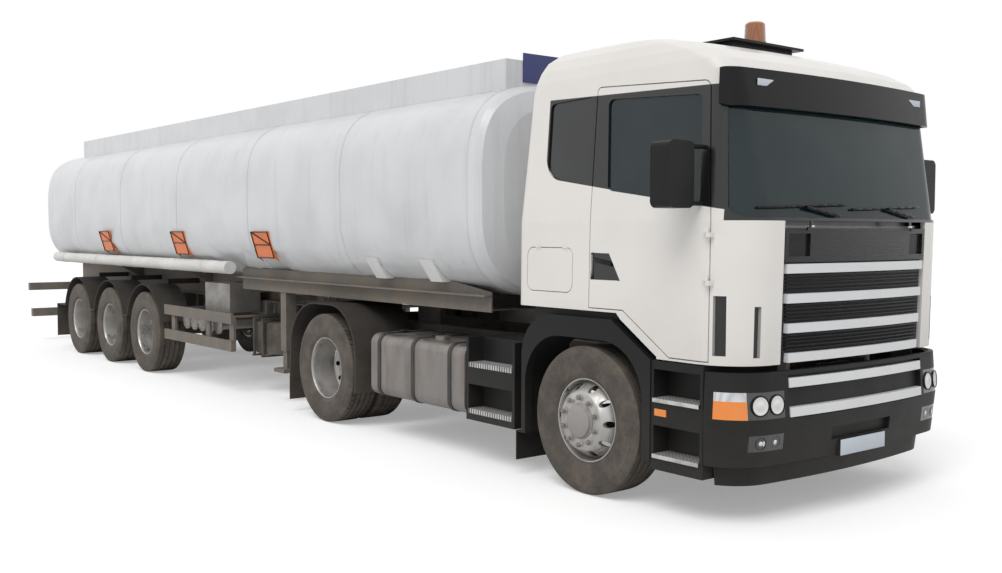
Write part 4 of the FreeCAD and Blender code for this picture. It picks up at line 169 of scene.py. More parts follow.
# %% A material that adds its own nodes
class Finish:
    """A material and its node tree: a new one from a name, or a finished one opened once more."""

    def __init__(self, material):
        if isinstance(material, str):
            material = bpy.data.materials.new(material)
            material.use_nodes = True
        self.material = material
        self.tree = material.node_tree
        self.shader = self.tree.nodes["Principled BSDF"]

    def coming(self, name):
        """The wire that now feeds one of the shader's sockets."""
        return Wire(self, self.shader.inputs[name].links[0].from_socket)

    def node(self, kind, settings=None, values=None, output=0):
        made = self.tree.nodes.new(kind)
        for key, value in (settings or {}).items():
            setattr(made, key, value)
        for key, value in (values or {}).items():
            self.feed(made.inputs[key], value)
        return Wire(self, made.outputs[output])

    def feed(self, socket, value):
        if isinstance(value, Wire):
            self.tree.links.new(value.socket, socket)
        elif isinstance(value, tuple) and socket.type == "RGBA":
            socket.default_value = (*value[:3], 1.0)
        else:
            socket.default_value = value

    def set(self, **values):
        for key, value in values.items():
            self.feed(self.shader.inputs[key.replace("_", " ")], value)
        return self.material

    def place(self, scale=(1.0, 1.0, 1.0)):
        spot = self.node("ShaderNodeTexCoord", output=3)
        return self.node("ShaderNodeMapping", {}, {"Vector": spot, "Scale": scale})

    def axes(self):
        spot = self.node("ShaderNodeTexCoord", output=3)
        return [self.node("ShaderNodeSeparateXYZ", {}, {0: spot}, output=i) for i in range(3)]

    def noise(self, scale, detail=3.0, rough=0.55, stretch=(1.0, 1.0, 1.0)):
        values = {"Vector": self.place(stretch), "Scale": scale, "Detail": detail, "Roughness": rough}
        return self.node("ShaderNodeTexNoise", {}, values)

    def cells(self, scale):
        return self.node("ShaderNodeTexVoronoi", {}, {"Vector": self.place(), "Scale": scale})

    def mix(self, share, first, second):
        values = {0: share, 6: first, 7: second}
        return self.node("ShaderNodeMix", {"data_type": "RGBA"}, values, output=2)

    def bump(self, height, distance):
        values = {"Height": height, "Distance": distance, "Strength": 1.0}
        return self.set(Normal=self.node("ShaderNodeBump", {}, values))


# %% [markdown]
# ## Floor, backdrop and light
# The truck stands alone on white. The floor is a pale sheet that takes the soft shadow; seen straight
# on it adds a little light of its own, so that where no shadow falls it is as white as the backdrop.
# One broad sun stands for the studio's main lamp and the world for the light that comes from all
# sides, both at a level where a paint looks as it is written.

# %% Floor and backdrop
floor_half = 60.0
floor_colour = (0.80, 0.80, 0.80)
floor_lift = 0.30

bpy.ops.mesh.primitive_plane_add(size=floor_half * 2, location=(0, 0, 0))
floor = bpy.context.object
floor.name = "floor"
floor_finish = Finish("floor_white")
seen = floor_finish.node("ShaderNodeLightPath", output=0)
floor_finish.set(Base_Color=floor_colour, Roughness=0.9, Specular_IOR_Level=0.0,
                 Emission_Color=(1.0, 1.0, 1.0), Emission_Strength=seen * floor_lift)
floor.data.materials.append(floor_finish.material)

# %% World and sun
world_level = 0.62
sun_level = 1.55
sun_spread = 35.0
sun_height = 52.0
sun_side = -62.0

world = bpy.data.worlds.new("studio")
bpy.context.scene.world = world
world.use_nodes = True
tree = world.node_tree
back = tree.nodes["Background"]
back.inputs["Color"].default_value = (1.0, 1.0, 1.0, 1.0)
paths = tree.nodes.new("ShaderNodeLightPath")
white_seen = paths.outputs["Is Camera Ray"]
for ray in ("Is Transmission Ray", "Is Glossy Ray"):
    either = tree.nodes.new("ShaderNodeMath")
    either.operation = "MAXIMUM"
    tree.links.new(white_seen, either.inputs[0])
    tree.links.new(paths.outputs[ray], either.inputs[1])
    white_seen = either.outputs[0]
bright = tree.nodes.new("ShaderNodeMapRange")
bright.inputs["To Min"].default_value = world_level
bright.inputs["To Max"].default_value = 1.0
tree.links.new(white_seen, bright.inputs["Value"])
tree.links.new(bright.outputs["Result"], back.inputs["Strength"])

sun = bpy.data.objects.new("sun", bpy.data.lights.new("sun", "SUN"))
bpy.context.scene.collection.objects.link(sun)
sun.data.energy = sun_level
sun.data.angle = math.radians(sun_spread)
sun.rotation_euler = (math.radians(90.0 - sun_height), 0.0, math.radians(sun_side + 90.0))

bpy.context.scene.view_settings.view_transform = "Standard"
print("light: world", world_level, "sun", sun_level)

# %% [markdown]
# ## Painted panels
# The cab is sprayed warm white over smooth sheet. Paint on a working truck is never one colour: it is
# a little duller in patches, and road dust settles toward the bottom edges. Noise of two sizes gives
# the patches and the specks, and the height above the road drives the dust.

# %% Paint recipe
dust_brown = (0.235, 0.200, 0.165)
cab_sheet = (0.28, 0.04, 0.20, 0.9, 1.5)


def painted(name, colour, gloss=0.30, patch=0.06, dust=0.0, dust_low=0.5, dust_high=1.6, streak=0.0):
    """Sprayed sheet: patches, dust that thickens downwards and faint rain streaks."""
    finish = Finish(name)
    patches = finish.noise(1.7, 4.0).ease(0.35, 0.70)
    dark = tuple(c * (1.0 - patch) for c in colour)
    shade = finish.mix(patches, colour, dark)
    rain = finish.noise(1.0, 4.0, 0.6, (9.0, 9.0, 0.35)).ease(0.52, 0.75) * streak
    shade = finish.mix(rain, shade, tuple(c * 0.62 for c in colour))
    film = (1.0 - finish.axes()[2].ease(dust_low, dust_high)) * (finish.noise(4.5, 5.0) * 0.8 + 0.35)
    film = (film * dust).least(1.0)
    specks = finish.noise(90.0, 2.0).ease(0.60, 0.74) * (film + 0.03)
    shade = finish.mix((film + specks).least(1.0), shade, dust_brown)
    finish.set(Base_Color=shade, Roughness=patches * 0.06 + film * 0.45 + gloss, Coat_Weight=0.25,
               Coat_Roughness=0.12)
    return finish.bump(finish.noise(420.0, 1.0), 0.00006)


# %% The black band round the cab's windows
band_black = (0.010, 0.0105, 0.011)
band_rear = -0.475
band_corner = 0.15
band_low = 2.181
band_slope = 0.152
band_top = 2.814
band_side = 1.100
cowl_rear = 1.180
cowl_low = 1.905
cowl_top = 2.90
grip_low = 1.529
grip_lean = 0.598
edge_blur = 0.002


def banded(name, colour):
    """Cab paint with the black band that joins the side windows, pillars and windscreen, plus painted shade
    in the lid's hinge gap and the door grip's recess.
    """
    finish = Finish(painted(name, colour, *cab_sheet))
    x, y, z = finish.axes()
    x = x - front_x
    low = (band_low - (x - 0.017) * band_slope).least(2.60)
    past = (band_corner + band_rear - x).most(0.0)
    under = (low + band_corner - z).most(0.0)
    reach = (past ** 2.0 + under ** 2.0) ** 0.5
    inside = 1.0 - reach.ease(band_corner - edge_blur, band_corner + edge_blur)
    top = 1.0 - (z + x * 0.0255 - band_top).ease(-edge_blur, edge_blur)
    side = y.size().ease(band_side, band_side + 0.004)
    # The cowl's black is partly the real black trim round the windscreen and partly painted shade on the
    # bulkhead seen through the lid's hinge gap.
    cowl_and_gap_shade = x.ease(cowl_rear, cowl_rear + 0.004) * z.ease(cowl_low, cowl_low + 0.004)
    cowl_and_gap_shade = cowl_and_gap_shade * (1.0 - z.ease(cowl_top, cowl_top + 0.004))
    # Painted shade: the door grip's recess is coloured black; no hollow is cut for it.
    grip_edge = 0.331 - (z - grip_low) * grip_lean
    recess_shade = x.ease(0.040, 0.041) * (1.0 - (x - grip_edge).ease(-0.001, 0.001))
    recess_shade = recess_shade * z.ease(grip_low, grip_low + 0.001) * (1.0 - z.ease(1.714, 1.716)) * side
    band = (inside * top * side).most(cowl_and_gap_shade).most(recess_shade)
    paint = finish.coming("Base Color")
    rough = finish.coming("Roughness")
    return finish.set(Base_Color=finish.mix(band, paint, band_black),
                      Roughness=rough * (1.0 - band * 0.35))


cab_white = (0.745, 0.722, 0.690)
tank_grey = (0.640, 0.650, 0.665)
board_blue = (0.018, 0.030, 0.150)
signal_orange = (0.800, 0.175, 0.020)

plain_paint = painted("plain_paint", cab_white, *cab_sheet)
cab_paint = banded("cab_paint", cab_white)
print("cab painted, its band from", band_low, "up")

# %% Corner panels with an air slot and a duct painted black as shade
slot_middle = 1.010
painted_shade_black = (0.008, 0.008, 0.009)


def between(wire, low, high, blur=0.001):
    """1 between two levels and 0 outside them."""
    return wire.ease(low - blur, low + blur) * (1.0 - wire.ease(high - blur, high + blur))


def slotted(name, colour):
    """Cab paint with a tall air slot beside the lid and a duct beside the door, both painted black as
    painted shade.
    """
    finish = Finish(painted(name, colour, *cab_sheet))
    x, y, z = finish.axes()
    # Painted shade: the slot and the duct recess are coloured black where shade falls in them.
    slot = (1.0 - (y.size() - slot_middle).size().ease(0.020, 0.022)) * between(z, 1.080, 1.400)
    duct = between(x - front_x, 1.129, 1.204) * between(z, 1.090, 1.465)
    return finish.set(Base_Color=finish.mix(slot.most(duct), finish.coming("Base Color"), painted_shade_black))


corner_paint = slotted("corner_paint", cab_white)
print("slots at", slot_middle, "from the middle")

# %% The other paints
tank_paint = painted("tank_paint", tank_grey, 0.34, 0.07, 0.10, 1.2, 2.2, 0.25)
white_paint = painted("white_paint", (0.76, 0.76, 0.75), 0.42, 0.10, 0.30, 0.8, 1.7, 0.3)
orange_paint = painted("orange_paint", signal_orange, 0.38, 0.12, 0.25, 1.3, 1.8)
silver_paint = painted("silver_paint", (0.70, 0.71, 0.72), 0.30, 0.05, 0.10, 0.6, 1.2)
print("paints mixed")

# %% [markdown]
# ## Frame steel and castings
# Rails, axles and brackets are painted dark and then live in road dirt, so brown shows through as much
# as black does. Large noise decides where the dirt lies, fine noise roughens it, and small pits in the
# bump give castings their sandy skin.

# %% Grimy steel recipe
def grimy(name, colour, dirt_colour, share=0.55, rough=0.62, metal=0.0, pit=0.0004, pit_scale=160.0):
    """Dark painted metal under a film of road dirt, with rubbed lighter patches."""
    finish = Finish(name)
    patches = finish.noise(3.4, 5.0, 0.62).ease(0.38, 0.66)
    splash = finish.noise(14.0, 4.0, 0.7).ease(0.45, 0.72)
    dirt = (patches * share + splash * 0.25).least(1.0)
    shade = finish.mix(dirt, colour, dirt_colour)
    rubbed = finish.noise(28.0, 3.0).ease(0.66, 0.80) * 0.35
    shade = finish.mix(rubbed, shade, tuple(min(1.0, c * 1.9 + 0.03) for c in colour))
    finish.set(Base_Color=shade, Roughness=dirt * 0.25 + rough, Metallic=(1.0 - dirt) * metal)
    return finish.bump(finish.noise(pit_scale, 3.0, 0.7), pit)


frame_steel = grimy("frame_steel", (0.060, 0.052, 0.046), (0.150, 0.118, 0.090))
trailer_steel = grimy("trailer_steel", (0.135, 0.122, 0.108), (0.220, 0.180, 0.140), 0.6)
cast_dark = grimy("cast_dark", (0.050, 0.047, 0.044), (0.120, 0.095, 0.072), 0.6, 0.7, 0.3, 0.0009, 95.0)
strap_steel = grimy("strap_steel", (0.022, 0.022, 0.023), (0.085, 0.074, 0.062), 0.35, 0.5)
valve_metal = grimy("valve_metal", (0.360, 0.350, 0.335), (0.180, 0.150, 0.120), 0.5, 0.38, 0.8)
print("steels mixed")

# %% [markdown]
# ## Plastics
# The bumper, steps, arches and mudguards are grey plastic with a fine moulded grain. The grain is a
# cell pattern a millimetre wide, too small to see as colour, so it goes to the bump alone, with pale
# dust lying on it low down.

# %% Plastic recipe
def moulded(name, colour, rough=0.55, grain=0.00025, dust=0.35, dust_low=0.15, dust_high=1.3):
    """Grained plastic, a little chalky on top and dusty toward the road."""
    finish = Finish(name)
    chalk = finish.noise(2.6, 4.0).ease(0.40, 0.72)
    shade = finish.mix(chalk * 0.5, colour, tuple(c * 1.4 + 0.002 for c in colour))
    film = (1.0 - finish.axes()[2].ease(dust_low, dust_high)) * (finish.noise(6.0, 5.0) * 0.9 + 0.25) * dust
    shade = finish.mix(film.least(1.0), shade, dust_brown)
    finish.set(Base_Color=shade, Roughness=chalk * 0.12 + film * 0.2 + rough, Specular_IOR_Level=0.22)
    return finish.bump(finish.cells(650.0), grain)


dark_plastic = moulded("dark_plastic", (0.006, 0.0063, 0.0066), 0.26, 0.00010, 0.02)
grey_plastic = moulded("grey_plastic", (0.0085, 0.009, 0.0095), 0.44, 0.00020, 0.10)
cover_plastic = moulded("cover_plastic", (0.024, 0.022, 0.021), 0.6, 0.0003, 0.35, 0.4, 1.5)
dash_plastic = moulded("dash_plastic", (0.060, 0.060, 0.063), 0.6, 0.0003, 0.0)
tube_white = moulded("tube_white", (0.640, 0.635, 0.615), 0.35, 0.00005, 0.35, 0.9, 1.9)
print("plastics mixed")

# %% [markdown]
# ## Glass
# Cab glass is tinted dark teal, and outside it mostly mirrors the sky. A clear solid would show the
# white room behind it, so the sheet is part mirror, part dark tint: the tint is a see-through shader
# that darkens what lies behind, mixed with a glossy coat that grows at flat angles.

# %% Glass recipe
def tinted(name, tint, body, body_share):
    """Tinted sheet: see-through tint and a dark body under a glossy coat."""
    finish = Finish(name)
    finish.set(Base_Color=body, Roughness=0.03, Specular_IOR_Level=0.75)
    clear = finish.node("ShaderNodeBsdfTransparent", {}, {"Color": tint})
    haze = finish.noise(2.2, 3.0).ease(0.3, 0.8) * 0.08 + body_share
    shader = Wire(finish, finish.shader.outputs[0])
    both = finish.node("ShaderNodeMixShader", {}, {0: haze, 1: clear, 2: shader})
    finish.tree.links.new(both.socket, finish.tree.nodes["Material Output"].inputs["Surface"])
    return finish.material


screen_glass = tinted("screen_glass", (0.42, 0.55, 0.56), (0.012, 0.028, 0.032), 0.55)
side_glass = tinted("side_glass", (0.30, 0.42, 0.44), (0.008, 0.022, 0.027), 0.62)
black_glass = tinted("black_glass", (0.02, 0.02, 0.02), (0.006, 0.007, 0.008), 0.95)
print("glass mixed")

# %% [markdown]
# ## Rubber, alloy, lamps and cloth
# Tyre walls are brown with road dust, the fuel tanks are brushed alloy gone dull, and the steps are
# punched alloy whose round holes are drawn as dark dots of painted shade on a grid with a dip at each.

# %% Rubber
def rubber(name, colour, dust):
    """Tyre rubber: near black, with brown dust caught in its fine ribs."""
    finish = Finish(name)
    cake = finish.noise(5.0, 5.0, 0.7).ease(0.35, 0.75)
    fine = finish.noise(60.0, 3.0, 0.7)
    film = (cake * 0.6 + fine * 0.5) * dust
    shade = finish.mix(film.least(1.0), colour, (0.185, 0.150, 0.118))
    finish.set(Base_Color=shade, Roughness=film * 0.2 + 0.62)
    return finish.bump(fine, 0.0006)


tyre_rubber = rubber("tyre_rubber", (0.022, 0.020, 0.019), 0.75)


# %% Brushed alloy and punched treads
def brushed(name, colour, rough, dirt):
    """Dull alloy sheet, brushed along X, with brown dirt in soft vertical runs."""
    finish = Finish(name)
    lines = finish.noise(30.0, 2.0, 0.5, (0.6, 12.0, 12.0))
    runs = finish.noise(2.4, 5.0, 0.6, (3.0, 3.0, 0.8)).ease(0.38, 0.70)
    shade = finish.mix(lines * 0.5, colour, tuple(c * 0.72 for c in colour))
    shade = finish.mix((runs * dirt).least(1.0), shade, (0.150, 0.120, 0.095))
    finish.set(Base_Color=shade, Roughness=runs * 0.25 + rough, Metallic=0.9 - runs * 0.5)
    return finish.bump(lines, 0.0003)


def punched(name, colour, pitch, hole):
    """Alloy tread with rows of round holes seen from above, the holes painted dark as shade."""
    finish = Finish(name)
    x, y, z = finish.axes()
    across = (x.repeat(pitch) ** 2.0 + y.repeat(pitch) ** 2.0) ** 0.5
    holes = 1.0 - across.ease(hole * 0.85, hole)
    worn = finish.noise(9.0, 4.0).ease(0.4, 0.7)
    shade = finish.mix(worn * 0.5, colour, (0.26, 0.24, 0.21))
    # Painted shade: the holes are coloured near black for the shade seen through them.
    shade = finish.mix(holes, shade, (0.02, 0.02, 0.02))
    finish.set(Base_Color=shade, Roughness=worn * 0.2 + 0.42, Metallic=(1.0 - holes) * 0.6)
    return finish.bump(1.0 - holes, 0.004)


fuel_alloy = brushed("fuel_alloy", (0.30, 0.28, 0.265), 0.38, 0.60)
wheel_silver = brushed("wheel_silver", (0.56, 0.55, 0.53), 0.27, 0.40)
tread_alloy = punched("tread_alloy", (0.62, 0.62, 0.61), 0.030, 0.008)
print("metals mixed")


# %% Lamps, cloth and mesh
flute_depth = 0.0012
thread = 0.0022


def lens(name, colour, flute):
    """A lamp's moulded lens: upright flutes over a bright reflector."""
    finish = Finish(name)
    x, y, z = finish.axes()
    ribs = ((x - y).repeat(flute) / (flute / 2)) ** 1.5
    shade = finish.mix(ribs * 0.6, colour, tuple(c * 0.45 for c in colour))
    finish.set(Base_Color=shade, Roughness=ribs * 0.08 + 0.08, Coat_Weight=1.0)
    return finish.bump(ribs, flute_depth)


def woven(name, colour):
    """Seat cloth: threads over and under, with a soft nap."""
    finish = Finish(name)
    x, y, z = finish.axes()
    over = ((x + z) * (math.tau / thread)).wave() * ((y - z) * (math.tau / thread)).wave()
    nap = finish.noise(14.0, 3.0)
    shade = finish.mix(nap * 0.5, colour, tuple(c * 0.6 for c in colour))
    finish.set(Base_Color=shade, Roughness=0.85, Sheen_Weight=0.3)
    return finish.bump(over, 0.0004)


def meshed(name, pitch):
    """Fine black grille mesh: a net of raised wires over gaps painted darker as shade."""
    finish = Finish(name)
    x, y, z = finish.axes()
    net = (y.repeat(pitch).least(z.repeat(pitch)) / (pitch / 2)).ease(0.15, 0.45)
    # Painted shade: the gaps between the wires are coloured darker than the wires.
    shade = finish.mix(net, (0.030, 0.031, 0.033), (0.003, 0.003, 0.003))
    finish.set(Base_Color=shade, Roughness=0.5 + net * 0.3)
    return finish.bump(1.0 - net, 0.003)


clear_lens = lens("clear_lens", (0.66, 0.68, 0.70), 0.018)
beacon_lens = lens("beacon_lens", (0.36, 0.11, 0.02), 0.010)
seat_cloth = woven("seat_cloth", (0.115, 0.115, 0.125))
grille_mesh = meshed("grille_mesh", 0.014)
print("lamps, cloth and mesh mixed")

# %% [markdown]
# ## Dressing the solids
# Each solid takes the finish of its real surface. The mesh of a solid is left as it is; only its
# material slot changes.

# %% Finish for each solid
dressing = (
    (cab_paint, "cab_shell door"), (plain_paint, "cab_roof locker_hatch"),
    (corner_paint, "corner_panels"), (screen_glass, "windscreen"), (black_glass, "sleeper_windows"),
    (side_glass, "door_glass"), (dark_plastic, "mirror sun_visor roof_fittings"),
    (grille_mesh, "front_lid"), (silver_paint, "lid_bars bumper_bars"), (beacon_lens, "beacon"),
    (dash_plastic, "dashboard"), (seat_cloth, "seats"), (frame_steel, "chassis_frame"),
    (cast_dark, "front_axle drive_axle engine_block fifth_wheel knuckle trailer_axles"),
    (fuel_alloy, "fuel_tanks"), (strap_steel, "tank_straps"),
    (grey_plastic, "side_boxes front_bumper wheel_arches"), (tread_alloy, "step_treads"),
    (cover_plastic, "rear_mudguards trailer_mudguards"), (clear_lens, "lamps"),
    (tank_paint, "tank_shell tank_coaming"), (white_paint, "tank_brackets"),
    (orange_paint, "sign_boards"),
    (trailer_steel, "trailer_frame landing_legs side_guards rear_beam"), (tube_white, "hose_tubes"),
    (valve_metal, "valve_gear"), (tyre_rubber, "spare_wheel"),
)
finish_of = {name: finish for finish, names in dressing for name in names.split()}
for name, node in nodes.items():
    kind = name.replace("_left", "").replace("_right", "")
    node.data.materials.clear()
    node.data.materials.append(finish_of.get(kind, tyre_rubber))
print("dressed", len(nodes), "solids")

# %% [markdown]
# ## Shaping by code
# Every added piece starts as a plain block, disc or outline and is then shaped the way one would by
# hand: pick some faces or edges, then bevel, inset or extrude them. In code the picking is done by
# place: a test on a face's middle and normal, or on an edge's two ends, says which ones are meant.

# %% Picking
def only(*pieces):
    """Object mode, with just these pieces selected."""
    if bpy.context.object and bpy.context.object.mode != "OBJECT":
        bpy.ops.object.mode_set(mode="OBJECT")
    bpy.ops.object.select_all(action="DESELECT")
    for piece in pieces:
        piece.select_set(True)
        bpy.context.view_layer.objects.active = piece


def pick(piece, test, kind="FACE"):
    """Edit mode, with the faces (middle, normal) or edges (end, end) that pass a test selected."""
    only(piece)
    bpy.ops.object.mode_set(mode="EDIT")
    bpy.ops.mesh.select_mode(type=kind)
    bpy.ops.mesh.select_all(action="DESELECT")
    mesh = bmesh.from_edit_mesh(piece.data)
    for part in mesh.faces if kind == "FACE" else mesh.edges:
        if kind == "FACE":
            passed = test(part.calc_center_median(), part.normal)
        else:
            passed = test(part.verts[0].co, part.verts[1].co)
        if passed:
            part.select_set(True)
    bmesh.update_edit_mesh(piece.data)


def whole(piece):
    pick(piece, lambda *ends: True)


def modified(piece, kind, **settings):
    """Give a piece a modifier with its settings and apply it."""
    only(piece)
    change = piece.modifiers.new("change", kind)
    for key, value in settings.items():
        setattr(change, key, value)
    bpy.ops.object.modifier_apply(modifier=change.name)


# %% Blocks, rods and turned outlines
def rounded(piece, edge, test):
    """Round the edges that pass a test."""
    if edge:
        pick(piece, test, "EDGE")
        bpy.ops.mesh.bevel(offset=edge, segments=2, affect="EDGES")
        only(piece)
    return piece


def block(name, low, high, edge=0.0):
    """A block between two corners, with its edges rounded."""
    only()
    middle = [(a + b) / 2 for a, b in zip(low, high)]
    bpy.ops.mesh.primitive_cube_add(size=1.0, location=middle)
    piece = bpy.context.object
    piece.name = name
    piece.scale = [abs(b - a) for a, b in zip(low, high)]
    bpy.ops.object.transform_apply()
    return rounded(piece, edge, lambda a, b: True)


def rod(name, start, end, radius, sides=24, edge=0.0):
    """A round bar from one point to another, its two rims rounded."""
    only()
    start, end = Vector(start), Vector(end)
    line = end - start
    turn_to = line.to_track_quat("Z", "Y").to_euler()
    bpy.ops.mesh.primitive_cylinder_add(vertices=sides, radius=radius, depth=line.length,
                                        location=(start + end) / 2, rotation=turn_to)
    piece = bpy.context.object
    piece.name = name
    bpy.ops.object.transform_apply()
    way = line.normalized()
    return rounded(piece, edge, lambda a, b: abs((a - b).dot(way)) < line.length / 2)


def turned(name, outline, place, axis=(0, -1, 0), steps=96):
    """Spin an outline of (along, out) points about an axis through a place."""
    only()
    along = Vector(axis)
    out = Vector((1, 0, 0)) if abs(along.z) > 0.5 else Vector((0, 0, 1))
    bpy.ops.mesh.primitive_plane_add(size=0.01, location=place)
    piece = bpy.context.object
    piece.name = name
    bpy.ops.object.transform_apply()
    whole(piece)
    bpy.ops.mesh.select_mode(type="VERT")
    bpy.ops.mesh.merge(type="CENTER")
    last = (0.0, 0.0)
    for point in outline:
        step = along * (point[0] - last[0]) + out * (point[1] - last[1])
        if last == (0.0, 0.0):
            bpy.ops.transform.translate(value=step)
        else:
            bpy.ops.mesh.extrude_vertices_move(TRANSFORM_OT_translate={"value": step})
        last = point
    bpy.ops.mesh.select_all(action="SELECT")
    bpy.ops.mesh.spin(steps=steps, angle=math.tau, center=place, axis=axis)
    tidy(piece)
    return piece


def tidy(piece):
    """Merge points that lie on each other and turn every face outward."""
    whole(piece)
    bpy.ops.mesh.remove_doubles(threshold=0.00005)
    bpy.ops.mesh.normals_make_consistent(inside=False)
    only(piece)


# %% [markdown]
# ## Copies and sheets
# What repeats is made once and copied, and the truck's left side is the right side mirrored. A mirrored
# mesh is inside out, so its faces are flipped. A weld or a trim strip that follows a curved solid is cut
# from a copy of that solid's own faces. The last touch on each piece is its shading and its body.

# %% Copies, sheets from a solid, and the last touches
smooth_angle = math.radians(35.0)


def copied(piece, name, mirror=False):
    """A copy with its own mesh, in place or mirrored to the other side of the truck."""
    twin = piece.copy()
    twin.data = piece.data.copy()
    twin.name = name
    bpy.context.scene.collection.objects.link(twin)
    only(twin)
    if mirror:
        twin.scale.y = -1
        bpy.ops.object.transform_apply()
        whole(twin)
        bpy.ops.mesh.flip_normals()
        only(twin)
    return twin


def joined(name, *pieces):
    only(*pieces)
    bpy.ops.object.join()
    piece = bpy.context.object
    piece.name = name
    return piece


def skin(name, node, keep, cuts, wall):
    """A sheet made from a solid's own faces: cut by planes, kept by a test and thickened."""
    piece = copied(nodes[node], name)
    piece.parent = None
    piece.matrix_world = Matrix.Identity(4)
    piece.data.materials.clear()
    tidy(piece)
    for place, way in cuts:
        whole(piece)
        bpy.ops.mesh.bisect(plane_co=place, plane_no=way)
    pick(piece, lambda middle, way: not keep(middle, way))
    bpy.ops.mesh.delete(type="FACE")
    modified(piece, "SOLIDIFY", thickness=wall, offset=1.0)
    return piece


def meets(node, start, way):
    """Where a line first meets a solid, and which way the surface faces there."""
    hit = nodes[node].ray_cast(Vector(start), Vector(way).normalized())
    return hit[1], hit[2]


def done(piece, body, finish):
    """Shade a piece smooth up to an angle, give it its finish and let it ride on a body."""
    only(piece)
    bpy.ops.object.shade_smooth_by_angle(angle=smooth_angle)
    if finish:
        piece.data.materials.clear()
        piece.data.materials.append(finish)
    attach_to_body(piece, body)
    return piece


# %% [markdown]
# ## Wheels
# A lorry's wheel is a steel disc pressed into a rim, under a tyre whose tread is cut by rings and
# cross cuts. Both are bodies of revolution, so each is one outline spun about the axle. The front
# disc bulges outward past the tyre, the rear ones lie deep inside. Ten nuts hold each to its hub.

# %% A tyre from one outline
groove_depth = 0.014
groove_half = 0.006
groove_shares = (0.26, 0.09, -0.09, -0.26)
cut_half = 0.0035
cut_depth = 0.009
tyre_steps = 120


def tyre_outline(width):
    """Half width and radius along the tyre, from the outer bead over the tread to the inner one."""
    half = width / 2
    wall = [(half - 0.0290, 0.2980), (half - 0.0215, 0.3060), (half - 0.0130, 0.3300),
            (half - 0.0095, 0.3385), (half - 0.0100, 0.3430), (half - 0.0045, 0.3720),
            (half - 0.0010, 0.4080), (half - 0.0005, 0.4320), (half - 0.0030, 0.4620),
            (half - 0.0015, 0.4645), (half - 0.0025, 0.4700), (half - 0.0050, 0.4725),
            (half - 0.0085, 0.4960), (half - 0.0150, 0.5150), (half - 0.0240, 0.5265),
            (half - 0.0320, 0.5285)]
    crown = tyre_radius - 0.0004
    foot = groove_half * 0.6
    tread = []
    for share in groove_shares:
        place = share * width
        tread += [(place + groove_half, crown), (place + foot, crown - groove_depth),
                  (place - foot, crown - groove_depth), (place - groove_half, crown)]
    return wall + tread + [(-a, r) for a, r in reversed(wall)]


def tyre(name, width, place, pitch, reach):
    """A tyre about a place on its middle plane, with cross cuts from each shoulder inward."""
    piece = turned(name, tyre_outline(width), place, (0, -1, 0), tyre_steps)
    tread_radius = tyre_radius - 0.006
    rib = 0.015

    def crosses(a, b):
        low, high = a - place, b - place
        if abs(low.y - high.y) < rib or min(abs(low.y), abs(high.y)) < reach * width:
            return False
        if min(math.hypot(low.x, low.z), math.hypot(high.x, high.z)) < tread_radius:
            return False
        return round(math.atan2(low.z, low.x) / math.tau * tyre_steps) % pitch == 0

    pick(piece, crosses, "EDGE")
    bpy.ops.mesh.bevel(offset=cut_half, segments=1, affect="EDGES")
    bpy.ops.mesh.select_mode(type="FACE")
    bpy.ops.mesh.extrude_region_shrink_fatten(TRANSFORM_OT_shrink_fatten={"value": -cut_depth})
    only(piece)
    return piece


# %% A wheel nut, and ten of them round a hub
nut_count = 10
nut_circle = 0.1675
nut_turn = math.radians(18.0)
outward = Vector((0.0, -1.0, 0.0))


def ring_of(piece, place, name, start=0.0):
    """Ten copies of a piece, turned about the axle through a place and joined."""
    copies = []
    for i in range(nut_count):
        twin = copied(piece, name)
        angle = start + math.tau * i / nut_count
        bpy.ops.transform.rotate(value=angle, orient_axis="Y", center_override=place)
        bpy.ops.object.transform_apply()
        copies.append(twin)
    only(piece)
    bpy.ops.object.delete()
    return joined(name, *copies)


def wheel_nuts(place, reach):
    """Hexagon nuts on round collars, each with its stud's end showing."""
    foot = place + Vector((nut_circle, -reach, 0.0))
    collar = rod("collar", foot, foot + outward * 0.007, 0.026, 24, 0.002)
    nut = rod("nut", foot, foot + outward * 0.030, 0.0185, 6, 0.003)
    stud = rod("stud", foot, foot + outward * 0.038, 0.0105, 16, 0.002)
    for part, finish in ((collar, wheel_silver), (nut, nut_steel), (stud, nut_steel)):
        part.data.materials.append(finish)
    return ring_of(joined("nut", collar, nut, stud), place, "nuts", nut_turn)


# %% Rims with their hand holes
hole_circle = 0.238
hole_radius = 0.024
rim_inset = 0.0285
disc_wall = 0.012


def holed(rim, place, low, high):
    """Ten round hand holes cut through a rim's disc, between two places along the axle."""
    foot = place + Vector((hole_circle, 0.0, 0.0))
    drill = rod("drill", foot + outward * low, foot + outward * high, hole_radius)
    drill = ring_of(drill, place, "drills")
    modified(rim, "BOOLEAN", operation="DIFFERENCE", object=drill, solver="EXACT")
    only(drill)
    bpy.ops.object.delete()


def rim_outline(half, attach, disc, bore):
    """Lip, well and disc along the axle from the middle plane; the disc leaves the well at attach."""
    lip = [(half - 0.010, 0.2960), (half - 0.004, 0.2985), (half, 0.2970), (half, 0.2900),
           (half - 0.006, 0.2860), (half - 0.016, 0.2835), (half - 0.030, 0.2800)]
    way = 1.0 if disc > attach else -1.0
    depth = disc - attach
    front = [(attach + way * 0.004, 0.2755), (attach + depth * 0.45, 0.2500),
             (attach + depth * 0.86, 0.2180), (disc - way * 0.004, 0.2050), (disc, 0.1980),
             (disc, bore)]
    back = [(disc - disc_wall, bore), (disc - disc_wall, 0.1960), (attach - disc_wall, 0.2700),
            (0.010 - half, 0.2760), (0.004 - half, 0.2985)]
    seat = [(0.012 - half, 0.2985), (0.012 - half, 0.2860), (half - 0.010, 0.2860),
            (half - 0.010, 0.2960)]
    return lip + front + back + seat


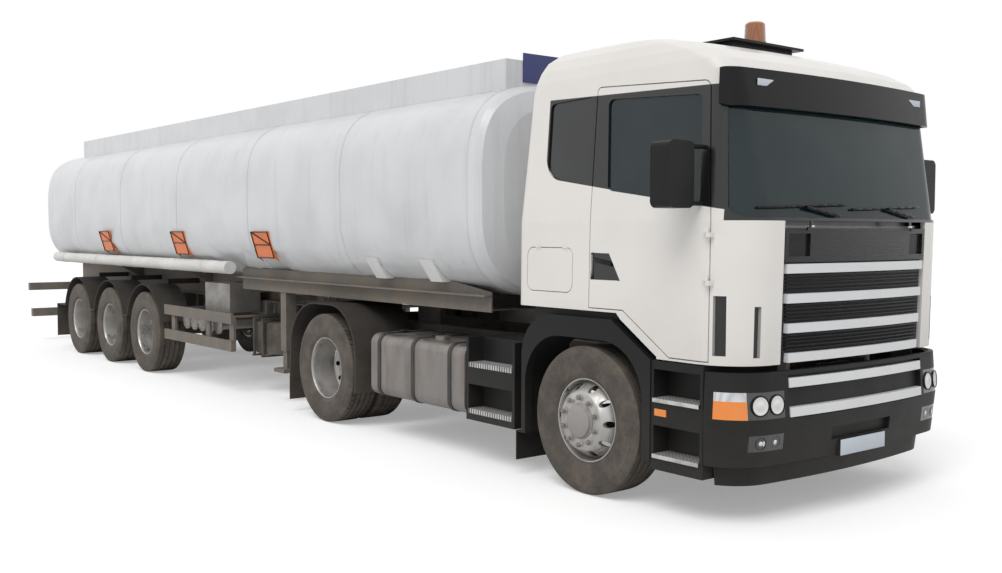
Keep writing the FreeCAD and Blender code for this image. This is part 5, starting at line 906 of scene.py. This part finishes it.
def hub_outline(disc, hub, cap):
    """A hub's collar and domed cap in front of the disc."""
    return [(disc - 0.006, 0.0), (disc - 0.006, hub + 0.012), (disc + 0.006, hub + 0.010),
            (disc + 0.010, hub), (disc + cap * 0.75, hub * 0.95), (disc + cap * 0.93, hub * 0.78),
            (disc + cap, hub * 0.45), (disc + cap, 0.0)]


def wheel(name, place, width, attach, disc, hub, cap, pitch, reach):
    """A right-hand wheel: tyre, rim with its hand holes, hub cap and nuts."""
    rubber_piece = tyre(name + "_tyre", width, place, pitch, reach)
    outline = rim_outline(width / 2 - rim_inset, attach, disc, hub * 0.9)
    rim = turned(name + "_rim", outline, place)
    holed(rim, place, min(attach, disc) - 0.030, max(attach, disc) + 0.020)
    dome = turned(name + "_hub", hub_outline(disc, hub, cap), place)
    return rubber_piece, rim, dome, wheel_nuts(place, disc)


# %% Wheel finishes
nut_steel = brushed("nut_steel", (0.40, 0.38, 0.35), 0.36, 0.60)
hub_paint = painted("hub_paint", (0.30, 0.29, 0.28), 0.42, 0.15, 0.4, 0.2, 1.0)
wheel_finishes = (tyre_rubber, wheel_silver, hub_paint, None)

# %% All wheels, right side built and left side mirrored
road_width = 0.315
trailer_width = 0.385
front_face = 1.235
drive_face = 1.2315
inner_face = 0.8865
trailer_face = 1.244
drive_attach = -0.1205
drive_disc = 0.9155 - (drive_face - road_width / 2)
trailer_disc = 0.9915 - (trailer_face - trailer_width / 2)
rear_hub = 0.092

# name, x, face, tyre width, disc's start and face, hub, cap, cuts' pitch and reach, body
sets = [("front", front_x, front_face, road_width, 0.060, 0.186, 0.118, 0.037, 3, 0.33, "front_wheel"),
        ("drive", drive_x, drive_face, road_width, drive_attach, drive_disc, rear_hub, 0.100, 2, 0.20,
         "drive_wheel")]
for number, x in enumerate(trailer_xs, 1):
    sets.append(("trailer_%d" % number, x, trailer_face, trailer_width, -0.1575, trailer_disc,
                 rear_hub, 0.038, 3, 0.33, "trailer_wheel_%d" % number))

for name, x, face, width, attach, disc, hub, cap, pitch, reach, body in sets:
    place = Vector((x, -(face - width / 2), tyre_radius))
    parts = wheel(name, place, width, attach, disc, hub, cap, pitch, reach)
    finishes = wheel_finishes
    if name == "drive":
        inner = Vector((x, -(inner_face - width / 2), tyre_radius))
        outline = rim_outline(width / 2 - rim_inset, attach, disc, 0.09)
        parts += (tyre("drive_inner_tyre", width, inner, pitch, reach),
                  turned("drive_inner_rim", outline, inner, (0, 1, 0)))
        finishes += wheel_finishes[:2]
    for side in ("left", "right"):
        for part, finish in zip(parts, finishes):
            twin = copied(part, "%s_%s" % (part.name, side), side == "left")
            done(twin, "%s_%s" % (body, side), finish)
        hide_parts("%s_%s" % (body, side))
    only(*parts)
    bpy.ops.object.delete()
print("wheels:", len(sets) * 2, "bodies dressed")

# %% [markdown]
# ## Lamps and number plate
# A headlamp is a clear cover over bowls of bright metal, with an amber lamp at its outer end. The cover
# is the solid's own finish, amber or dark by place. Round bowls are spun and set on the lamp's face,
# looking the way that face looks. The plate is bare.

# %% Lamp glass, amber at its outer end
chrome = brushed("chrome", (0.78, 0.78, 0.77), 0.12, 0.05)
lamp_black = moulded("lamp_black", (0.006, 0.006, 0.006), 0.20, 0.00005, 0.0)
plate_pale = painted("plate_pale", (0.52, 0.57, 0.62), 0.40, 0.05)
amber_edge = 1.095
amber_low = 0.66
amber_top = 0.812
sides = (("left", 1.0), ("right", -1.0))

lamp = Finish(clear_lens)
x, y, z = lamp.axes()
x = x - front_x
outboard = y.size().ease(amber_edge, amber_edge + 0.004)
amber = outboard * (1.0 - z.ease(amber_top, amber_top + 0.004))
amber = amber * (1.0 - (amber_low - z).ease(0.0, 0.002))
amber = amber.most((1.0 - x.ease(0.90, 0.91)) * y.size().ease(1.0, 1.01))
dark = (1.0 - outboard) * x.ease(1.0, 1.01)
shade = lamp.mix(dark, lamp.coming("Base Color"), (0.030, 0.030, 0.032))
lamp.set(Base_Color=lamp.mix(amber, shade, (0.80, 0.23, 0.02)))
print("amber beyond", amber_edge)

# %% Lamp bowls, number plate and visor lamps
backward = Vector((-1.0, 0.0, 0.0))


def front_of(node, y, z):
    """Where a node's front face lies, seen from straight ahead, and which way it faces."""
    return meets(node, (front_x + 2.0, y, z), backward)


def bowl(name, y, z, radius):
    """A bright bowl with a dark rim and a small bulb cap, set on a lamp's face."""
    spot, way = front_of("lamps", y, z)
    ring = [(0.0, radius * 1.14), (0.004, radius * 1.12), (0.004, radius), (-0.004, radius * 0.94)]
    cup = [(0.001, radius * 0.99), (0.0015, radius * 0.80), (0.0008, radius * 0.45),
           (0.003, radius * 0.34), (0.0045, radius * 0.22), (0.005, 0.0)]
    axis = way if abs(way.z) < 0.5 else -backward
    done(turned(name + "_ring", ring, spot, axis, 48), "chassis", lamp_black)
    done(turned(name + "_cup", cup, spot, axis, 48), "chassis", chrome)


bowls = (("headlamp_inner_", 0.885, 0.785, 0.058), ("headlamp_outer_", 1.020, 0.785, 0.058),
         ("fog_inner_", 0.885, 0.548, 0.036), ("fog_outer_", 1.005, 0.548, 0.036))
for side, sign in sides:
    for name, y, z, radius in bowls:
        bowl(name + side, y * sign, z, radius)
plate_x = front_of("front_bumper", 0.0, 0.443)[0].x
plate = block("number_plate", (plate_x - 0.002, -0.26, 0.390), (plate_x + 0.004, 0.26, 0.496), 0.003)
done(plate, "chassis", plate_pale)
for side, sign in sides:
    visor_x = front_of("sun_visor", 0.85 * sign, 2.80)[0].x
    lamp = block("visor_lamp_" + side, (visor_x - 0.006, 0.76 * sign, 2.778),
                 (visor_x + 0.003, 0.94 * sign, 2.822), 0.003)
    done(lamp, "cab", plate_pale)
print("bowls:", len(bowls) * 2, "plate at", round(plate_x, 3))

# %% [markdown]
# ## Louvres behind the silver bars
# Air reaches the radiator between rows of thin black blades. One strip is subdivided and bowed like the
# lid's front, row by row up the gaps between the bars, and all of them lift with the lid. The panel
# above the top bar is the same solid, so its glossy black is laid over the mesh finish by height.

# %% Louvres
bowed_level = 1.57
lid_x = front_of("front_lid", 0.02, bowed_level)[0].x
bar_places = ((1.097, 1.037), (1.285, 1.225), (1.474, 1.414), (1.663, 1.603))
blade_half = 0.770
blade_height = 0.008
blade_pitch = 0.0235
blade_low = 1.045
blade_top = 1.655


def bowed(piece):
    """Bend a straight strip so that it follows the lid's bowed front."""
    whole(piece)
    bpy.ops.mesh.subdivide(number_cuts=11)
    only(piece)
    for point in piece.data.vertices:
        point.co.x += front_of("front_lid", point.co.y, bowed_level)[0].x - lid_x
    return piece


blades = []
level = blade_low
while level < blade_top:
    if all(level > top + 0.006 or level < foot - 0.014 for top, foot in bar_places):
        blades.append(bowed(block("blade", (lid_x - 0.004, -blade_half, level),
                                  (lid_x + 0.012, blade_half, level + blade_height))))
    level += blade_pitch
print("blades:", len(blades))
done(joined("lid_louvres", *blades), "front_lid", lamp_black)


# %% Glossy panel above the bars
gloss_low = 1.672
gloss_black = (0.006, 0.0062, 0.0065)
gloss_rough = 0.14

lid = Finish(grille_mesh)
share = lid.axes()[2].ease(gloss_low - 0.001, gloss_low + 0.001)
lid.set(Base_Color=lid.mix(share, lid.coming("Base Color"), gloss_black),
        Roughness=lid.coming("Roughness") * (1.0 - share) + share * gloss_rough)
print("glossy above", gloss_low)

# %% [markdown]
# ## Wipers and mirrors
# A wiper is an arm and a blade that lies on the curved glass. Rays shot at the windscreen tell where
# the glass is, so the blade is built from short rods that follow it. A mirror's glass faces back.

# %% Wipers
wiper_lift = 0.014
blade_parts = 8
arm_parts = 4


def on_glass(y, z):
    """A point just in front of the windscreen."""
    spot, way = meets("windscreen", (front_x + 3.0, y, z), backward)
    return spot + way * wiper_lift


def along_glass(name, points, radius):
    """Short rods from each point to the next."""
    return joined(name, *[rod(name, a, b, radius, 12, 0.001) for a, b in zip(points, points[1:])])


def sweep(start, end, level, rise, parts):
    """Points on the glass from one side place to another, rising on the way."""
    shares = [i / parts for i in range(parts + 1)]
    return [on_glass(start + (end - start) * share, level + rise * share) for share in shares]


wipers = (("wiper_right", -0.30, -0.62, -1.02, -0.20), ("wiper_left", 0.62, 0.28, -0.14, 0.74))
for name, pivot, tip, low, high in wipers:
    blade = sweep(low, high, 2.012, 0.030, blade_parts)
    arm = [spot - backward * 0.010 for spot in sweep(pivot, tip, 1.965, 0.055, arm_parts)]
    both = joined(name, along_glass(name, blade, 0.008), along_glass(name, arm, 0.011))
    done(both, "cab", lamp_black)
print("wipers:", len(wipers))

# %% Mirror glass
mirror_glass = brushed("mirror_glass", (0.80, 0.82, 0.84), 0.04, 0.0)
panes = (("main", 2.145, 2.400), ("wide", 2.035, 2.125))
for side, sign in sides:
    mirror_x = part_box("mirror_" + side)[0][0]
    for place, low, high in panes:
        pane = block("mirror_%s_%s" % (place, side), (mirror_x - 0.0035, 1.330 * sign, low),
                     (mirror_x + 0.003, 1.505 * sign, high), 0.002)
        done(pane, "door_" + side, mirror_glass)
print("panes:", len(panes) * 2)

# %% [markdown]
# ## Door grips and strap buckles
# The door's handle is a rounded bar in a recess painted black as shade, and each fuel tank strap is
# closed by a buckle with a cross bolt on top of the tank. A ray from the side or from above finds the face
# to sit on.

# %% Door grips and strap buckles
strap_places = (-2.715, -2.176, -1.636)
buckle_half = 0.030
buckle_y = 0.95
for side, sign in sides:
    door_y = meets("door_" + side, (front_x + 0.45, sign * 3.0, 1.60), (0, -sign, 0))[0].y
    grip_y = door_y - sign * 0.012
    grip = rod("door_grip_" + side, (front_x + 0.062, grip_y, 1.668), (front_x + 0.245, grip_y, 1.640),
               0.016, 24, 0.005)
    done(grip, "door_" + side, lamp_black)
    buckles = []
    for place in strap_places:
        x = front_x + place
        top = meets("fuel_tanks", (x + 0.06, sign * buckle_y, 1.5), (0, 0, -1))[0].z
        buckles.append(block("buckle", (x - buckle_half, sign * 0.91, top + 0.004),
                             (x + buckle_half, sign * 0.99, top + 0.026), 0.006))
        buckles.append(rod("bolt", (x, sign * buckle_y - 0.06, top + 0.020),
                           (x, sign * buckle_y + 0.06, top + 0.020), 0.007, 12))
    done(joined("strap_buckles_" + side, *buckles), "chassis", strap_steel)
print("grips: 2, buckles:", len(strap_places) * 2)

# %% [markdown]
# ## Boards and weld rings
# The placards are bare orange sheets in a thin black frame with a level and a slanted line. The board
# on the tank's nose is dark blue and blank. A tank is rolled from sheets, and a raised weld runs round
# it where two meet: each ring is cut from the tank's own faces and thickened.

# %% Placard frames
board_finish = Finish(orange_paint)
nose_share = board_finish.axes()[2].ease(2.6, 2.61)
board_shade = board_finish.mix(nose_share, board_finish.coming("Base Color"), board_blue)
board_finish.set(Base_Color=board_shade)
board_low = Vector((0.0, 1.172, 1.572))
board_high = Vector((0.0, 1.260, 1.859))
board_out = Vector((0.0, 0.956, -0.293)) * 0.004
board_length = 0.400
board_rears = (-5.225, -7.475, -10.120)
corners = ((0.02, 0.02), (0.98, 0.02), (0.98, 0.98), (0.02, 0.98))
frame_lines = [*zip(corners, corners[1:] + corners[:1]), ((0.02, 0.5), (0.98, 0.5)),
               (corners[3], (0.98, 0.5))]


def on_board(rear, share, rise):
    """A point on a placard's face, by its share of the length and of the slanted height."""
    point = board_low.lerp(board_high, rise) + board_out
    return Vector((front_x + rear + board_length * share, -point.y, point.z))


for number, rear in enumerate(board_rears, 1):
    strips = [rod("strip", on_board(rear, *start), on_board(rear, *end), 0.006, 8)
              for start, end in frame_lines]
    right = joined("placard_frame_%d_right" % number, *strips)
    left = copied(right, "placard_frame_%d_left" % number, True)
    done(right, "trailer", lamp_black)
    done(left, "trailer", lamp_black)
print("placards framed:", len(board_rears) * 2)

# %% Weld rings round the tank
weld_paint = painted("weld_paint", (0.60, 0.61, 0.625), 0.40, 0.10, 0.15, 1.2, 2.2, 0.3)
ring_half = 0.012
ring_rise = 0.003
ring_places = (-1.354, -3.35, -5.32, -7.29, -9.26, -11.216)
for number, place in enumerate(ring_places, 1):
    ring_x = front_x + place
    ends = [((ring_x + reach, 0, 0), (1, 0, 0)) for reach in (-ring_half, ring_half)]
    band = skin("weld_ring_%d" % number, "tank_shell",
                lambda at, way: abs(at.x - ring_x) < ring_half and abs(way.x) < 0.9, ends, ring_rise)
    done(band, "trailer", weld_paint)
print("weld rings:", len(ring_places))

# %% [markdown]
# ## Seats and bunk
# The cushions are soft. They could be blown up by a cloth simulation, but behind tinted glass a crowned
# form is enough: a block is subdivided, its large faces swell in the middle and its sides pull in, and a
# subdivision surface rounds the rest. Hard shells under them carry the cushions.

# %% Cushion recipe
crown = 0.018
side_pull = 0.012


def swollen(piece, low, high, crown, pinch):
    """Move a subdivided block's points: crowned faces, thinner rims and pulled-in sides."""
    middle = (Vector(low) + Vector(high)) / 2
    half = [abs(b - a) / 2 for a, b in zip(low, high)]
    thin = half.index(min(half))
    wide = [i for i in range(3) if i != thin]
    for point in piece.data.vertices:
        share = point.co - middle
        u, v = (abs(share[i]) / half[i] for i in wide)
        swell = (1.0 - u ** 3) * (1.0 - v ** 3)
        lean = abs(share[thin]) / half[thin]
        thinned = share[thin] * (1.0 - pinch / half[thin] * (1.0 - swell))
        sunk = math.copysign(crown * (1.0 - swell) * lean, share[thin])
        point.co[thin] = middle[thin] + thinned - sunk
        pull = side_pull * (1.0 - lean ** 2) * max(u, v) ** 6
        for i in wide:
            point.co[i] -= math.copysign(pull, share[i])


def cushion(name, low, high, finish, crown=crown, pinch=0.030):
    """A rounded block whose large faces swell and whose sides pull in, riding on the cab."""
    piece = block(name, low, high)
    whole(piece)
    bpy.ops.mesh.subdivide(number_cuts=7)
    only(piece)
    swollen(piece, low, high, crown, pinch)
    modified(piece, "SUBSURF", levels=2, render_levels=2)
    bpy.ops.object.shade_smooth()
    piece.data.materials.append(finish)
    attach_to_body(piece, "cab")
    return piece


# %% Both seats
bunk_cloth = woven("bunk_cloth", (0.150, 0.140, 0.130))
seat_shell = moulded("seat_shell", (0.020, 0.020, 0.021), 0.5, 0.0002, 0.0)


def inside(x, y, z):
    """A place in the cab, its x from the front axle."""
    return (front_x + x, y, z)


for side, sign in sides:
    near, far = 0.230 * sign, 0.730 * sign
    seat = cushion("seat_cushion_" + side, inside(0.010, near, 1.640), inside(0.478, far, 1.758), seat_cloth)
    cushion("seat_back_" + side, inside(-0.018, near, 1.765), inside(0.098, far, 2.300), seat_cloth)
    cushion("headrest_" + side, inside(-0.012, 0.350 * sign, 2.315), inside(0.085, 0.610 * sign, 2.478),
            seat_cloth, 0.012, 0.02)
    foot = block("seat_foot_" + side, inside(0.100, 0.290 * sign, 1.360), inside(0.360, 0.670 * sign, 1.632),
                 0.02)
    pan = block("seat_pan_" + side, inside(-0.018, 0.245 * sign, 1.630), inside(0.440, 0.715 * sign, 1.650),
                0.006)
    done(joined("seat_base_" + side, foot, pan), "cab", seat_shell)
    if side == "left":
        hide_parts("seats")

# %% Bunk
cushion("bunk_mattress", inside(-0.690, -1.015, 1.640), inside(-0.160, 1.015, 1.798), bunk_cloth)
bunk_base = block("bunk_base", inside(-0.697, -1.020, 1.360), inside(-0.157, 1.020, 1.645), 0.010)
done(bunk_base, "cab", seat_shell)
print("seats and bunk made")
